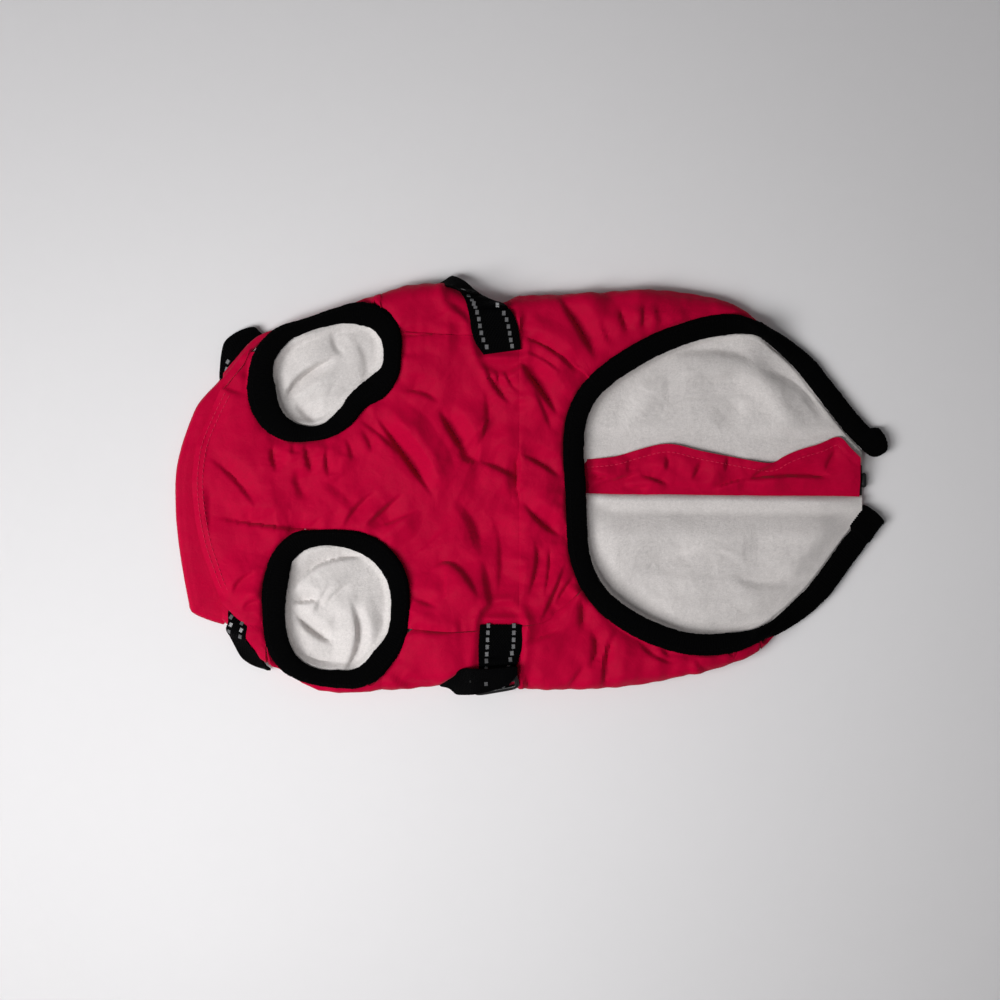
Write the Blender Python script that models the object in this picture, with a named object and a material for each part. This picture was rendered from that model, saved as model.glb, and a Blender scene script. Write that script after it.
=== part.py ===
"""Dog winter coat, laid flat with its belly side up.

X runs from the neck (-X) to the tail (+X), +Y is the dog's left side, and the back rests on z = 0.
Sizes below are in millimetres. MM turns them into metres when a mesh is made.
"""

import math
from collections import namedtuple

import bmesh
import bpy
import numpy as np
from mathutils.geometry import delaunay_2d_cdt

MM = 0.001

# Cloth, from the floor up
SEAM_GAP = 0.3
SHELL_WALL = 3.0
LINING_WALL = 2.5
PANEL_WALL = 4.0
FLAP_WALL = 1.2
LINING_BOTTOM = SHELL_WALL + SEAM_GAP
LINING_TOP = LINING_BOTTOM + LINING_WALL
CENTRE_TOP = LINING_TOP + FLAP_WALL + PANEL_WALL + 3 * SEAM_GAP
SUNK_HALF = 20.0  # the belly side lies lowest within this distance of the middle
SHOULDER_Y = 84.0  # and reaches its full height here

# Lengths along the body
SHELL_FRONT = -186.0
SHELL_BACK = 197.5
WAIST_X = -7.0
STATION_STEP = 13.0
FLAP_FRONT = -184.0
FLAP_BACK = 196.5
OPEN_TAIL_X = 38.0  # behind here the lining shows between the two sides of the hem
OPEN_ARM_RADIUS = 32.0  # and it shows within this distance of a leg hole's centre

# Centre-back zip
ZIP_Y = 3.0
ZIP_CHAIN_HALF = 2.9
ZIP_CHAIN_LOW = 0.5
ZIP_TAPE_HALF = 9.0
ZIP_TAPE_WALL = 0.8
ZIP_BACK = 198.5
ZIP_STOP_SIZE = (3.0, 9.0, 3.0)
ZIP_STOP_LOW = 2.0
FLAP_LOW_Y = -6.9
FLAP_STEP_Y = 0.0
FLAP_STEP_LENGTH = 4.5
FLAP_LIFT = 0.1

# Bindings and straps
BINDING_HALF_THICK = 2.7
BINDING_AROUND = 8  # points round a binding's section
ARM_RING_COUNT = 36
HEM_STEP = 9.5
ARM_RING_LIFT = 0.4
ARM_SEAM_GAP = 0.8
STRAP_WIDTH = 25.0
STRAP_WALL = 1.5
STRAP_LIFT = 1.4  # from the cloth to the middle of the webbing on it
STRAP_UNDER_Z = 0.85  # height of the webbing's middle below the coat
STRAP_RECESS = 2.05
RECESS_CLEAR = 0.6
RECESS_STEP = 0.05
NECK_RECESS_BACK = -154.5
LEFT_GIRTH_X = -43.5  # where the webbing runs below the coat
RIGHT_GIRTH_X = -22.0
GIRTH_START = 20.0  # distance from the zip to the sewn end below the coat
GIRTH_DRIFT = 6.0  # how far the left strap moves to the tail as it climbs its side
STRAP_CALM_X = (-42.0, 8.0)  # the belly side is level below the girth straps, between these
STRAP_CALM_Y = 68.0  # and outside this distance from the middle
SLIDER_WIDTH = 32.0
SLIDER_THICK = 2.6
SLIDER_LIFT = 2.6
SLIDER_BARS = ((-10.0, -7.4), (-1.5, 1.5), (7.4, 10.0))
SLIDER_WINDOW = 26.4
SLIDER_WAVE = 2.9  # how far the webbing swings to pass under, over and under the bars
SLIDER_TILT = 45.0  # where the slider lies round the right side roll
TAIL_ENDS = (-56.0, -38.8)
TAIL_WALL = 1.5
TAIL_SWEEP = (-8.0, 84.0)
TAIL_LIFT = 0.5
TAIL_COUNT = 8
NECK_STRAP_REACH = 6.5
NECK_STRAP_UNDER = 16.0

# How high the belly side stands above the floor beside the side seams
Height = namedtuple("Height", "x top")
HEIGHTS = (
    Height(-206, 10.6),
    Height(-186, 11.5),
    Height(-165, 14.0),
    Height(-120, 16.0),
    Height(-75, 18.5),
    Height(-20, 17.5),
    Height(30, 18.0),
    Height(90, 16.5),
    Height(115, 14.0),
    Height(131, 11.0),
    Height(140, 8.0),
)

# Half of the back, seen in sections across the body. side is how far the half reaches, roll the width of its
# side roll, turn the angle at which a short roll ends, edge where a full roll ends on the belly side
FLAT_TURN = -70.0  # below this turn the half lies flat with no roll
FULL_TURN = 88.0  # from this turn on the roll goes on over the belly side
Station = namedtuple("Station", "x side roll turn edge")
LEFT_STATIONS = (
    Station(-186.0, 68.0, 5.0, 90, 60.9),
    Station(-178.0, 77.5, 5.0, 90, 70.1),
    Station(-171.0, 85.2, 5.5, 90, 78.7),
    Station(-165.2, 89.4, 6.0, 60, 83.9),
    Station(-160.0, 91.4, 6.0, 34, 80.0),
    Station(-150.0, 93.8, 7.0, 24, 80.0),
    Station(-141.0, 96.2, 8.0, 26, 80.0),
    Station(-130.0, 100.2, 8.0, 28, 80.0),
    Station(-120.0, 103.0, 8.0, 28, 80.0),
    Station(-110.0, 106.6, 8.0, 28, 80.0),
    Station(-101.0, 110.8, 8.0, 28, 90.0),
    Station(-94.6, 113.2, 8.0, 90, 110.4),
    Station(-89.0, 115.0, 8.0, 90, 106.0),
    Station(-85.0, 116.4, 8.0, 90, 102.0),
    Station(-79.6, 118.2, 8.0, 90, 95.2),
    Station(-77.2, 119.0, 8.0, 90, 92.4),
    Station(-66.0, 120.6, 8.0, 90, 91.5),
    Station(-50.0, 121.0, 8.0, 90, 90.4),
    Station(-36.0, 117.5, 8.0, 90, 90.0),
    Station(-20.0, 110.8, 8.0, 90, 89.4),
    Station(-7.0, 114.5, 8.0, 90, 88.8),
    Station(10.0, 115.2, 8.0, 90, 83.5),
    Station(35.0, 116.2, 8.0, 90, 66.2),
    Station(41.5, 116.4, 8.0, 90, 72.5),
    Station(48.0, 117.0, 8.0, 90, 78.0),
    Station(56.0, 117.4, 8.0, 90, 82.9),
    Station(71.0, 117.6, 8.0, 90, 90.9),
    Station(87.0, 116.8, 8.0, 90, 97.4),
    Station(103.0, 114.6, 7.0, 90, 102.5),
    Station(113.0, 112.6, 6.0, 76, 104.4),
    Station(122.0, 109.2, 5.5, 40, 104.6),
    Station(131.0, 103.4, 4.5, 0, 96.0),
    Station(138.0, 93.0, 3.5, -50, 86.0),
    Station(145.0, 83.4, 3.0, -88, 80.0),
    Station(149.0, 80.2, 3.0, -88, 76.0),
    Station(158.0, 71.4, 3.0, -88, 68.0),
    Station(167.0, 59.4, 3.0, -88, 56.0),
    Station(176.0, 46.6, 3.0, -88, 43.0),
    Station(185.0, 33.8, 3.0, -88, 30.0),
    Station(193.0, 24.0, 3.0, -88, 20.0),
    Station(198.0, 18.0, 3.0, -88, 14.0),
)
RIGHT_STATIONS = (
    Station(-186.0, 82.0, 5.0, 90, 73.2),
    Station(-178.0, 89.0, 5.0, 90, 81.0),
    Station(-171.0, 95.6, 5.5, 90, 88.4),
    Station(-163.0, 101.8, 6.0, 90, 96.2),
    Station(-158.8, 104.8, 6.0, 60, 101.0),
    Station(-156.0, 106.8, 6.0, 34, 100.0),
    Station(-147.0, 112.4, 7.0, 24, 104.0),
    Station(-138.0, 116.4, 8.0, 26, 106.0),
    Station(-128.0, 119.4, 8.0, 28, 108.0),
    Station(-116.0, 121.4, 8.0, 28, 110.0),
    Station(-104.0, 122.6, 8.0, 28, 110.0),
    Station(-97.0, 123.2, 8.0, 90, 121.0),
    Station(-93.0, 123.4, 8.0, 90, 119.0),
    Station(-89.0, 123.4, 8.0, 90, 115.6),
    Station(-84.0, 123.4, 8.0, 90, 110.6),
    Station(-79.0, 123.2, 8.0, 90, 102.6),
    Station(-74.0, 122.8, 8.0, 90, 93.8),
    Station(-71.6, 122.4, 8.0, 90, 89.8),
    Station(-64.0, 121.6, 8.0, 90, 87.5),
    Station(-50.0, 120.0, 8.0, 90, 88.4),
    Station(-36.0, 120.6, 8.0, 90, 87.8),
    Station(-20.0, 121.4, 8.0, 90, 86.0),
    Station(-7.0, 122.6, 8.0, 90, 84.6),
    Station(10.0, 124.0, 8.0, 90, 81.5),
    Station(30.8, 123.6, 8.0, 90, 64.2),
    Station(34.0, 123.4, 8.0, 90, 69.2),
    Station(39.5, 123.2, 8.0, 90, 76.2),
    Station(44.0, 122.8, 8.0, 90, 80.2),
    Station(50.0, 122.4, 8.0, 90, 85.0),
    Station(60.0, 121.0, 8.0, 90, 90.9),
    Station(72.0, 119.0, 8.0, 90, 96.4),
    Station(85.0, 116.6, 8.0, 90, 101.0),
    Station(95.0, 114.0, 7.5, 90, 103.2),
    Station(105.0, 112.6, 7.0, 90, 104.0),
    Station(113.0, 111.0, 6.0, 76, 104.0),
    Station(122.0, 107.6, 5.5, 40, 103.2),
    Station(131.0, 100.2, 4.5, 0, 94.0),
    Station(138.0, 89.4, 3.5, -50, 84.0),
    Station(145.0, 79.6, 3.0, -88, 76.0),
    Station(149.0, 76.4, 3.0, -88, 73.0),
    Station(158.0, 67.8, 3.0, -88, 64.0),
    Station(167.0, 58.6, 3.0, -88, 55.0),
    Station(176.0, 47.4, 3.0, -88, 44.0),
    Station(185.0, 35.4, 3.0, -88, 32.0),
    Station(193.0, 25.0, 3.0, -88, 22.0),
    Station(198.0, 19.6, 3.0, -88, 16.0),
)

# The two leg holes, as radii of the binding's inner and outer edges round a centre
Ring = namedtuple("Ring", "angle inner outer")
LEFT_ARM_CENTRE = (-123.6, 67.8)
LEFT_ARM = (
    Ring(0, 32.7, 44.5),
    Ring(30, 39.0, 51.0),
    Ring(55, 37.4, 50.6),
    Ring(75, 30.1, 41.6),
    Ring(90, 27.3, 36.0),
    Ring(120, 26.7, 35.6),
    Ring(150, 29.5, 41.8),
    Ring(180, 31.5, 46.0),
    Ring(210, 34.0, 50.4),
    Ring(240, 35.4, 47.0),
    Ring(270, 29.4, 40.4),
    Ring(300, 22.2, 34.0),
    Ring(320, 20.2, 32.0),
    Ring(342, 23.6, 38.4),
)
RIGHT_ARM_CENTRE = (-116.4, -76.2)
RIGHT_ARM = (
    Ring(0, 32.2, 43.4),
    Ring(30, 35.1, 47.4),
    Ring(60, 37.2, 49.8),
    Ring(90, 39.3, 49.6),
    Ring(112, 41.4, 53.0),
    Ring(130, 40.6, 54.0),
    Ring(150, 34.4, 49.0),
    Ring(180, 31.5, 45.3),
    Ring(210, 33.8, 48.0),
    Ring(240, 36.4, 47.4),
    Ring(270, 34.8, 45.6),
    Ring(300, 34.6, 47.4),
    Ring(330, 32.6, 44.6),
)

# The angles between which each leg hole's binding borders the chest panel
ARM_EDGE_COUNT = 26
LEFT_ARM_CUT = (161, 388)
RIGHT_ARM_CUT = (-17, 209)

# The hem binding's centre line, from its upper end at the tail round the belly to its lower end. tilt turns
# its width up from lying level, and half is half of its width
Hem = namedtuple("Hem", "x y z tilt half")
HEM = (
    Hem(208.6, 16.8, 3.0, 0, 6.0),
    Hem(205.6, 24.6, 3.1, 0, 6.6),
    Hem(193.5, 36.6, 3.1, 0, 6.6),
    Hem(175.6, 59.6, 3.1, 0, 6.6),
    Hem(165.8, 72.4, 3.2, 4, 6.2),
    Hem(155.5, 82.6, 4.4, 14, 5.4),
    Hem(147.0, 88.8, 7.6, 38, 5.0),
    Hem(138.6, 93.4, 10.6, 90, 4.6),
    Hem(130.5, 95.8, 11.6, 152, 5.2),
    Hem(121.0, 96.8, 12.2, 172, 6.2),
    Hem(105.0, 94.8, 13.6, 180, 6.6),
    Hem(89.1, 90.0, 15.0, 180, 6.6),
    Hem(74.0, 83.8, 16.2, 180, 6.6),
    Hem(59.7, 75.8, 17.0, 180, 6.6),
    Hem(45.6, 66.2, 17.0, 180, 6.4),
    Hem(34.0, 54.4, 15.4, 180, 6.2),
    Hem(27.2, 39.0, 12.6, 180, 6.2),
    Hem(25.6, 20.0, 10.8, 180, 6.4),
    Hem(26.8, 0.0, 10.6, 180, 6.4),
    Hem(27.6, -22.0, 10.8, 180, 6.4),
    Hem(29.0, -41.0, 12.8, 180, 6.2),
    Hem(34.6, -57.6, 15.4, 180, 6.2),
    Hem(44.0, -70.4, 17.0, 180, 6.4),
    Hem(57.5, -80.8, 17.0, 180, 6.6),
    Hem(72.4, -88.6, 16.2, 180, 6.6),
    Hem(89.6, -94.4, 15.0, 180, 6.6),
    Hem(105.4, -96.2, 13.6, 180, 6.6),
    Hem(120.4, -95.0, 12.2, 172, 6.2),
    Hem(130.5, -92.6, 11.6, 152, 5.2),
    Hem(138.6, -89.6, 10.6, 90, 4.6),
    Hem(146.6, -84.6, 7.6, 38, 5.0),
    Hem(155.0, -78.4, 4.4, 14, 5.4),
    Hem(163.6, -71.0, 3.2, 4, 6.2),
    Hem(174.4, -60.4, 3.1, 0, 6.6),
    Hem(191.6, -38.0, 3.1, 0, 6.6),
    Hem(200.2, -27.0, 3.1, 0, 6.6),
    Hem(207.0, -18.4, 3.0, 0, 6.0),
)

# Outlines in plan
Point = namedtuple("Point", "x y")
NECK_EDGE = (
    Point(-189.6, 55.0),
    Point(-195.6, 40.0),
    Point(-201.6, 24.0),
    Point(-204.6, -3.0),
    Point(-200.4, -33.0),
    Point(-189.6, -63.0),
    Point(-185.0, -73.0),
)
LEFT_SHOULDER = (
    Point(-171.0, 77.8),
    Point(-178.0, 69.4),
    Point(-185.4, 60.4),
)
RIGHT_SHOULDER = (
    Point(-178.0, -80.2),
    Point(-171.0, -87.6),
    Point(-163.0, -95.2),
)
LEFT_SIDE_SEAM = (
    Point(-66.0, 91.0),
    Point(-50.0, 90.0),
    Point(-36.0, 89.6),
    Point(-20.0, 89.0),
    Point(WAIST_X, 88.4),
)
RIGHT_SIDE_SEAM = (
    Point(-64.0, -87.0),
    Point(-50.0, -88.0),
    Point(-36.0, -87.4),
    Point(-20.0, -85.6),
    Point(WAIST_X, -84.2),
)
BELLY_LEFT_SEAM = (Point(WAIST_X, 88.4), Point(10.0, 83.0), Point(34.6, 64.8))
BELLY_RIGHT_SEAM = (Point(WAIST_X, -84.2), Point(10.0, -81.0), Point(30.6, -62.6))
COLLAR_FRONT = (
    Point(-186.3, 67.0),
    Point(-190.0, 60.0),
    Point(-198.0, 43.0),
    Point(-205.8, 33.0),
    Point(-210.6, 20.0),
    Point(-213.4, 6.0),
    Point(-213.4, -14.0),
    Point(-211.8, -32.0),
    Point(-209.2, -52.0),
    Point(-205.0, -72.0),
    Point(-196.0, -79.0),
    Point(-186.3, -81.6),
)
FLAP_FREE_EDGE = (
    Point(FLAP_FRONT, 17.0),
    Point(39.0, 16.4),
    Point(53.0, 18.0),
    Point(65.0, 21.4),
    Point(78.0, 24.4),
    Point(88.0, 24.4),
    Point(103.0, 20.6),
    Point(125.0, 16.4),
    Point(146.0, 13.8),
    Point(153.0, 17.4),
    Point(162.0, 21.2),
    Point(174.0, 24.8),
    Point(184.0, 27.6),
    Point(FLAP_BACK, 16.5),
)

# The left girth strap's way over the belly side, to its sewn end beside the waist seam
LEFT_GIRTH_TOP = (
    Point(-36.0, 108.0),
    Point(-28.0, 102.0),
    Point(-22.5, 95.0),
    Point(-20.6, 87.0),
    Point(-20.6, 79.0),
)
RIGHT_GIRTH_TOP = (Point(-20.0, -83.0), Point(-20.4, -93.0), Point(-21.4, -103.0))

# Where each neck strap wraps the shoulder's edge, and the way that edge faces
Wrap = namedtuple("Wrap", "x y face_x face_y roll")
LEFT_NECK_WRAP = Wrap(-177.0, 79.6, -0.72, 0.69, 5.6)
RIGHT_NECK_WRAP = Wrap(-175.5, -92.2, -0.66, -0.75, 5.6)

# How far the webbing's middle stands out from the side roll, by the angle round the roll
RollLift = namedtuple("RollLift", "angle lift")
ROLL_LIFTS = (
    RollLift(-65, -0.8),
    RollLift(-40, -0.75),
    RollLift(-20, -0.45),
    RollLift(-5, 0.8),
    RollLift(10, 1.8),
    RollLift(30, 1.9),
    RollLift(60, STRAP_LIFT),
)

# Folds and ridges of the padded cloth: from one end to the other, bowed sideways at the middle. rise is a
# ridge's height, or a trough's depth when negative. puff is the height of the cloth pushed up beside it
Fold = namedtuple("Fold", "x0 y0 x1 y1 bow width rise puff")
CHEST_FOLDS = (
    Fold(-98, 40, -59, -8, 9, 5.0, -2.2, 2.6),
    Fold(-94, 46, -77, 22, 3, 4.5, -1.6, 1.6),
    Fold(-58, 51, -37, 17, 3, 5.0, -2.2, 2.4),
    Fold(-10, 20, -13, -24, 3, 5.0, -2.0, 1.6),
    Fold(-37, 10, -27, -68, -3, 9.0, -2.2, 2.0),
    Fold(-112, -24, -91, -2, -3, 4.5, -1.8, 1.8),
    Fold(-100, -28, -78, -5, -3, 4.5, -1.8, 2.0),
    Fold(-192, -18, -116, -28, 3, 5.0, -1.4, 1.4),
    Fold(-192, 18, -162, -16, 5, 5.0, -1.6, 1.6),
    Fold(-60, -52, -32, -66, 7, 5.0, -1.2, 2.0),
    Fold(-29, 64, -26, 8, 2, 6.0, -1.4, 1.6),
    Fold(-150, 28, -147, 6, 1, 4.5, -1.4, 1.4),
    Fold(-128, 26, -126, 8, 1, 4.5, -1.4, 1.4),
    Fold(-176, -50, -160, -62, 4, 6.0, -1.0, 1.8),
    Fold(-140, -18, -138, 8, 2, 7.0, -1.2, 1.2),
    Fold(-56, -6, -48, 8, 1, 6.0, -1.2, 2.6),
)
BELLY_FOLDS = (
    Fold(-5, 84, 18, 42, 3, 5.0, -2.2, 2.4),
    Fold(-5, -12, 17, -30, 3, 4.5, -2.0, 2.0),
    Fold(-5, 20, 15, 8, 2, 4.5, -1.6, 1.8),
    Fold(8, -36, 4, -72, 2, 5.0, -1.4, 1.8),
    Fold(17, -46, 12, -66, 2, 4.5, -1.2, 1.4),
)
NECK_RIDGE = Fold(-196, 40, -194, -50, -9, 4.0, 1.4, 0.0)

# Soft swellings of the fleece lining
Swell = namedtuple("Swell", "x y across along rise")
LINING_SWELLS = (
    Swell(-134, 76, 18, 16, 2.2),
    Swell(-108, 62, 14, 14, 1.6),
    Swell(-126, -64, 20, 16, 2.4),
    Swell(-104, -88, 16, 18, 1.8),
    Swell(64, 44, 22, 16, 1.6),
    Swell(112, 62, 26, 15, 2.4),
    Swell(152, 44, 18, 14, 1.8),
    Swell(76, -34, 28, 16, 2.0),
    Swell(128, -30, 26, 14, 2.2),
    Swell(96, -68, 30, 14, 2.0),
    Swell(158, -40, 16, 14, 1.6),
)

PINK = (0.56, 0.012, 0.048, 1.0)
DEEP_PINK = (0.44, 0.009, 0.036, 1.0)
FLEECE = (0.78, 0.78, 0.79, 1.0)
BLACK = (0.012, 0.012, 0.014, 1.0)
BLACK_PLASTIC = (0.02, 0.02, 0.022, 1.0)


def smooth(t):
    """0 below 0, 1 above 1, and an even S between."""
    t = np.clip(t, 0.0, 1.0)
    return t * t * (3.0 - 2.0 * t)


def column(rows, name):
    return np.array([getattr(row, name) for row in rows], dtype=float)


def side_top(x):
    return np.interp(x, column(HEIGHTS, "x"), column(HEIGHTS, "top"))


def crown(x, y):
    """Height of the belly side without its folds: low along the middle and full beside the side seams."""
    top = side_top(x)
    return CENTRE_TOP + (top - CENTRE_TOP) * smooth((np.abs(y) - SUNK_HALF) / (SHOULDER_Y - SUNK_HALF))


def folded(x, y, folds):
    """Sum of the folds: a trough along each bowed line with a softer swelling on its right-hand side."""
    total = np.zeros(np.shape(x))
    for fold in folds:
        run = np.array([fold.x1 - fold.x0, fold.y1 - fold.y0], dtype=float)
        length = np.hypot(*run)
        along = ((x - fold.x0) * run[0] + (y - fold.y0) * run[1]) / length**2
        across = ((y - fold.y0) * run[0] - (x - fold.x0) * run[1]) / length
        across = across - 4.0 * fold.bow * np.clip(along, 0, 1) * (1 - np.clip(along, 0, 1))
        ends = smooth(along / 0.25 + 0.5) * smooth((1.0 - along) / 0.25 + 0.5)
        trough = np.exp(-((across / fold.width) ** 2))
        puff = np.exp(-(((across + 1.9 * fold.width) / (1.3 * fold.width)) ** 2))
        total = total + ends * (fold.rise * trough + fold.puff * puff)
    return total


def swollen(x, y):
    """Height of the lining's soft swellings."""
    total = np.zeros(np.shape(x))
    for swell in LINING_SWELLS:
        far = ((x - swell.x) / swell.across) ** 2 + ((y - swell.y) / swell.along) ** 2
        total = total + swell.rise * np.exp(-far)
    return total


def rounded_path(points, step, closed=False):
    """Points about a step apart on the Catmull-Rom curve through the given rows."""
    points = np.asarray(points, dtype=float)
    count = len(points)
    if closed:
        padded = np.vstack([points[-1], points, points[0], points[1]])
        spans = count
    else:
        padded = np.vstack([2 * points[0] - points[1], points, 2 * points[-1] - points[-2]])
        spans = count - 1
    t = np.linspace(0.0, 1.0, 16, endpoint=False)[:, None]
    dense = []
    for k in range(spans):
        a, b, c, d = padded[k : k + 4]
        dense.append(
            0.5 * (2 * b + (c - a) * t + (2 * a - 5 * b + 4 * c - d) * t**2 + (3 * b - a - 3 * c + d) * t**3)
        )
    dense.append(padded[spans + 1][None, :])
    dense = np.vstack(dense)
    gone = np.concatenate([[0.0], np.cumsum(np.linalg.norm(np.diff(dense[:, :3], axis=0), axis=1))])
    pieces = max(2, int(round(gone[-1] / step)))
    at = np.linspace(0.0, gone[-1], pieces + 1)
    path = np.column_stack([np.interp(at, gone, dense[:, k]) for k in range(dense.shape[1])])
    return path[:-1] if closed else path


def material(name, colour, roughness):
    made = bpy.data.materials.new(name)
    made.use_nodes = True
    shader = made.node_tree.nodes["Principled BSDF"]
    shader.inputs["Base Color"].default_value = colour
    shader.inputs["Roughness"].default_value = roughness
    shader.inputs["Metallic"].default_value = 0.0
    return made


def solid(name, points, faces, colour, roughness=0.85):
    """A closed mesh object from points in millimetres, with its faces turned outwards."""
    mesh = bpy.data.meshes.new(name)
    mesh.from_pydata([tuple(p) for p in np.asarray(points) * MM], [], [tuple(map(int, f)) for f in faces])
    work = bmesh.new()
    work.from_mesh(mesh)
    bmesh.ops.recalc_face_normals(work, faces=work.faces)
    work.to_mesh(mesh)
    work.free()
    mesh.shade_smooth()
    mesh.set_sharp_from_angle(angle=math.radians(45))
    made = bpy.data.objects.new(name, mesh)
    bpy.context.scene.collection.objects.link(made)
    mesh.materials.append(material(name + "_finish", colour, roughness))
    return made


def ring_faces(rings, around, closed=False):
    """Quads between rings of points, each with the same count, and a cap at each end of an open run."""
    faces = []
    for k in range(rings if closed else rings - 1):
        here = k * around
        there = ((k + 1) % rings) * around
        for j in range(around):
            after = (j + 1) % around
            faces.append((here + j, here + after, there + after, there + j))
    if not closed:
        faces.append(tuple(range(around)))
        faces.append(tuple(range((rings - 1) * around, rings * around)))
    return faces


def oval(count, squareness=0.75):
    """Points round a rounded rectangle that reaches 1 each way."""
    angle = np.arange(count) * 2 * np.pi / count + np.pi / count
    wide = np.sign(np.cos(angle)) * np.abs(np.cos(angle)) ** squareness
    high = np.sign(np.sin(angle)) * np.abs(np.sin(angle)) ** squareness
    return np.column_stack([wide / np.abs(wide).max(), high / np.abs(high).max()])


def unit(vectors):
    return vectors / np.linalg.norm(vectors, axis=-1, keepdims=True)


def path_tangents(path, closed=False):
    if closed:
        return unit(np.roll(path, -1, axis=0) - np.roll(path, 1, axis=0))
    return unit(np.gradient(path, axis=0))


def inside(points, outline):
    """Which points lie in the outline, by counting the edges that a line to the right of each crosses."""
    x, y = points[:, 0], points[:, 1]
    odd = np.zeros(len(points), dtype=bool)
    ends = np.roll(outline, -1, axis=0)
    for (ax, ay), (bx, by) in zip(outline, ends):
        crosses = (ay > y) != (by > y)
        reach = (bx - ax) * (y - ay) / (by - ay if by != ay else 1.0) + ax
        odd ^= crosses & (x < reach)
    return odd


def edge_distance(points, outline):
    """Shortest distance from each point to the outline."""
    nearest = np.full(len(points), np.inf)
    ends = np.roll(outline, -1, axis=0)
    for a, b in zip(outline, ends):
        run = b - a
        part = np.clip(((points - a) @ run) / max(run @ run, 1e-9), 0.0, 1.0)
        nearest = np.minimum(nearest, np.linalg.norm(points - a - part[:, None] * run, axis=1))
    return nearest


def evenly(outline, step):
    """The closed outline with points about a step apart, its corners kept."""
    out = []
    ends = np.roll(outline, -1, axis=0)
    for a, b in zip(outline, ends):
        count = max(1, int(round(np.linalg.norm(b - a) / step)))
        out.append(a + (b - a) * (np.arange(count) / count)[:, None])
    return np.vstack(out)


def sheet(name, outline, pitch, top, bottom, colour, round_edge=1.0, rim=2.2, roughness=0.85):
    """A cloth panel cut to an outline: an even triangle grid in plan, between a top and a bottom surface."""
    outline = evenly(np.asarray(outline, dtype=float), pitch)
    low, high = outline.min(axis=0), outline.max(axis=0)
    rows = np.arange(low[1], high[1], pitch * math.sqrt(3) / 2)
    columns = np.arange(low[0], high[0], pitch)
    grid = np.array([(x + pitch * 0.5 * (k % 2), y) for k, y in enumerate(rows) for x in columns])
    grid = grid[inside(grid, outline)]
    grid = grid[edge_distance(grid, outline) > rim + 0.45 * pitch]
    inner = []
    for a, b in zip(np.roll(outline, 1, axis=0), np.roll(outline, -1, axis=0)):
        run = (b - a) / max(np.linalg.norm(b - a), 1e-9)
        inner.append((run[1], -run[0]))
    inner = np.array(inner)
    trial = outline + inner * rim
    flip = np.where(inside(trial, outline), 1.0, -1.0)[:, None]
    inner = outline + inner * rim * flip
    inner = inner[inside(inner, outline) & (edge_distance(inner, outline) > 0.7 * rim)]
    free = np.vstack([inner, grid])
    count = len(outline)
    edges = [(k, (k + 1) % count) for k in range(count)]
    plan = [tuple(map(float, p)) for p in np.vstack([outline, free])]
    points, _, triangles, *_ = delaunay_2d_cdt(plan, edges, [], 1, 1e-4)
    points = np.array([tuple(p) for p in points])
    triangles = np.array([tuple(t) for t in triangles])
    middles = points[triangles].mean(axis=1)
    triangles = triangles[inside(middles, outline)]
    used = np.unique(triangles)
    renumber = np.full(len(points), -1)
    renumber[used] = np.arange(len(used))
    points, triangles = points[used], renumber[triangles]
    ends = np.concatenate([triangles[:, [0, 1]], triangles[:, [1, 2]], triangles[:, [2, 0]]])
    keys = {tuple(e) for e in ends}
    border = [e for e in keys if (e[1], e[0]) not in keys]
    near = 1.0 - np.clip(edge_distance(points, outline) / rim, 0.0, 1.0)
    lowered = round_edge * near**2
    above = np.column_stack([points, top(points[:, 0], points[:, 1]) - lowered])
    below = np.column_stack([points, bottom(points[:, 0], points[:, 1]) + 0.6 * lowered])
    total = len(points)
    faces = [tuple(t) for t in triangles]
    faces += [(c + total, b + total, a + total) for a, b, c in triangles]
    faces += [(b, a, a + total, b + total) for a, b in border]
    return solid(name, np.vstack([above, below]), faces, colour, roughness)


def arm_table(rows, count):
    """Inner and outer radius of a leg hole's binding at even angles."""
    angles = column(rows, "angle")
    at = np.arange(count) * 360.0 / count
    wide = np.concatenate([angles - 360, angles, angles + 360])
    inner = np.tile(column(rows, "inner"), 3)
    outer = np.tile(column(rows, "outer"), 3)
    return np.radians(at), np.interp(at, wide, inner), np.interp(at, wide, outer)


def arm_edge(centre, rows, first, last):
    """The panel's edge beside a leg hole's binding, a seam's gap outside it, from one angle to another."""
    angles = column(rows, "angle")
    wide = np.concatenate([angles - 360, angles, angles + 360])
    at = np.linspace(first, last, ARM_EDGE_COUNT)
    reach = np.interp((at + 360) % 360, wide, np.tile(column(rows, "outer"), 3)) + ARM_SEAM_GAP
    turned = np.radians(at)
    return np.column_stack([centre[0] + reach * np.cos(turned), centre[1] + reach * np.sin(turned)])


def arm_binding(name, centre, rows):
    """Ribbed binding round a leg hole: a flattened round section carried round the hole on the cloth."""
    count = ARM_RING_COUNT
    angle, inner, outer = arm_table(rows, count)
    middle, half = (inner + outer) / 2, (outer - inner) / 2
    spoke = np.column_stack([np.cos(angle), np.sin(angle), np.zeros(count)])
    path = spoke * middle[:, None] + np.array([centre[0], centre[1], 0.0])
    path[:, 2] = crown(path[:, 0], path[:, 1]) + ARM_RING_LIFT - BINDING_HALF_THICK * 0.5
    wide, high = oval(BINDING_AROUND).T
    rings = [p + s * (wide * h)[:, None] for p, s, h in zip(path, spoke, half)]
    for ring in rings:
        ring[:, 2] += high * BINDING_HALF_THICK
    return solid(name, np.vstack(rings), ring_faces(count, BINDING_AROUND, True), BLACK, 0.95)


def hem_path(step):
    return rounded_path(np.array(HEM), step)


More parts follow.
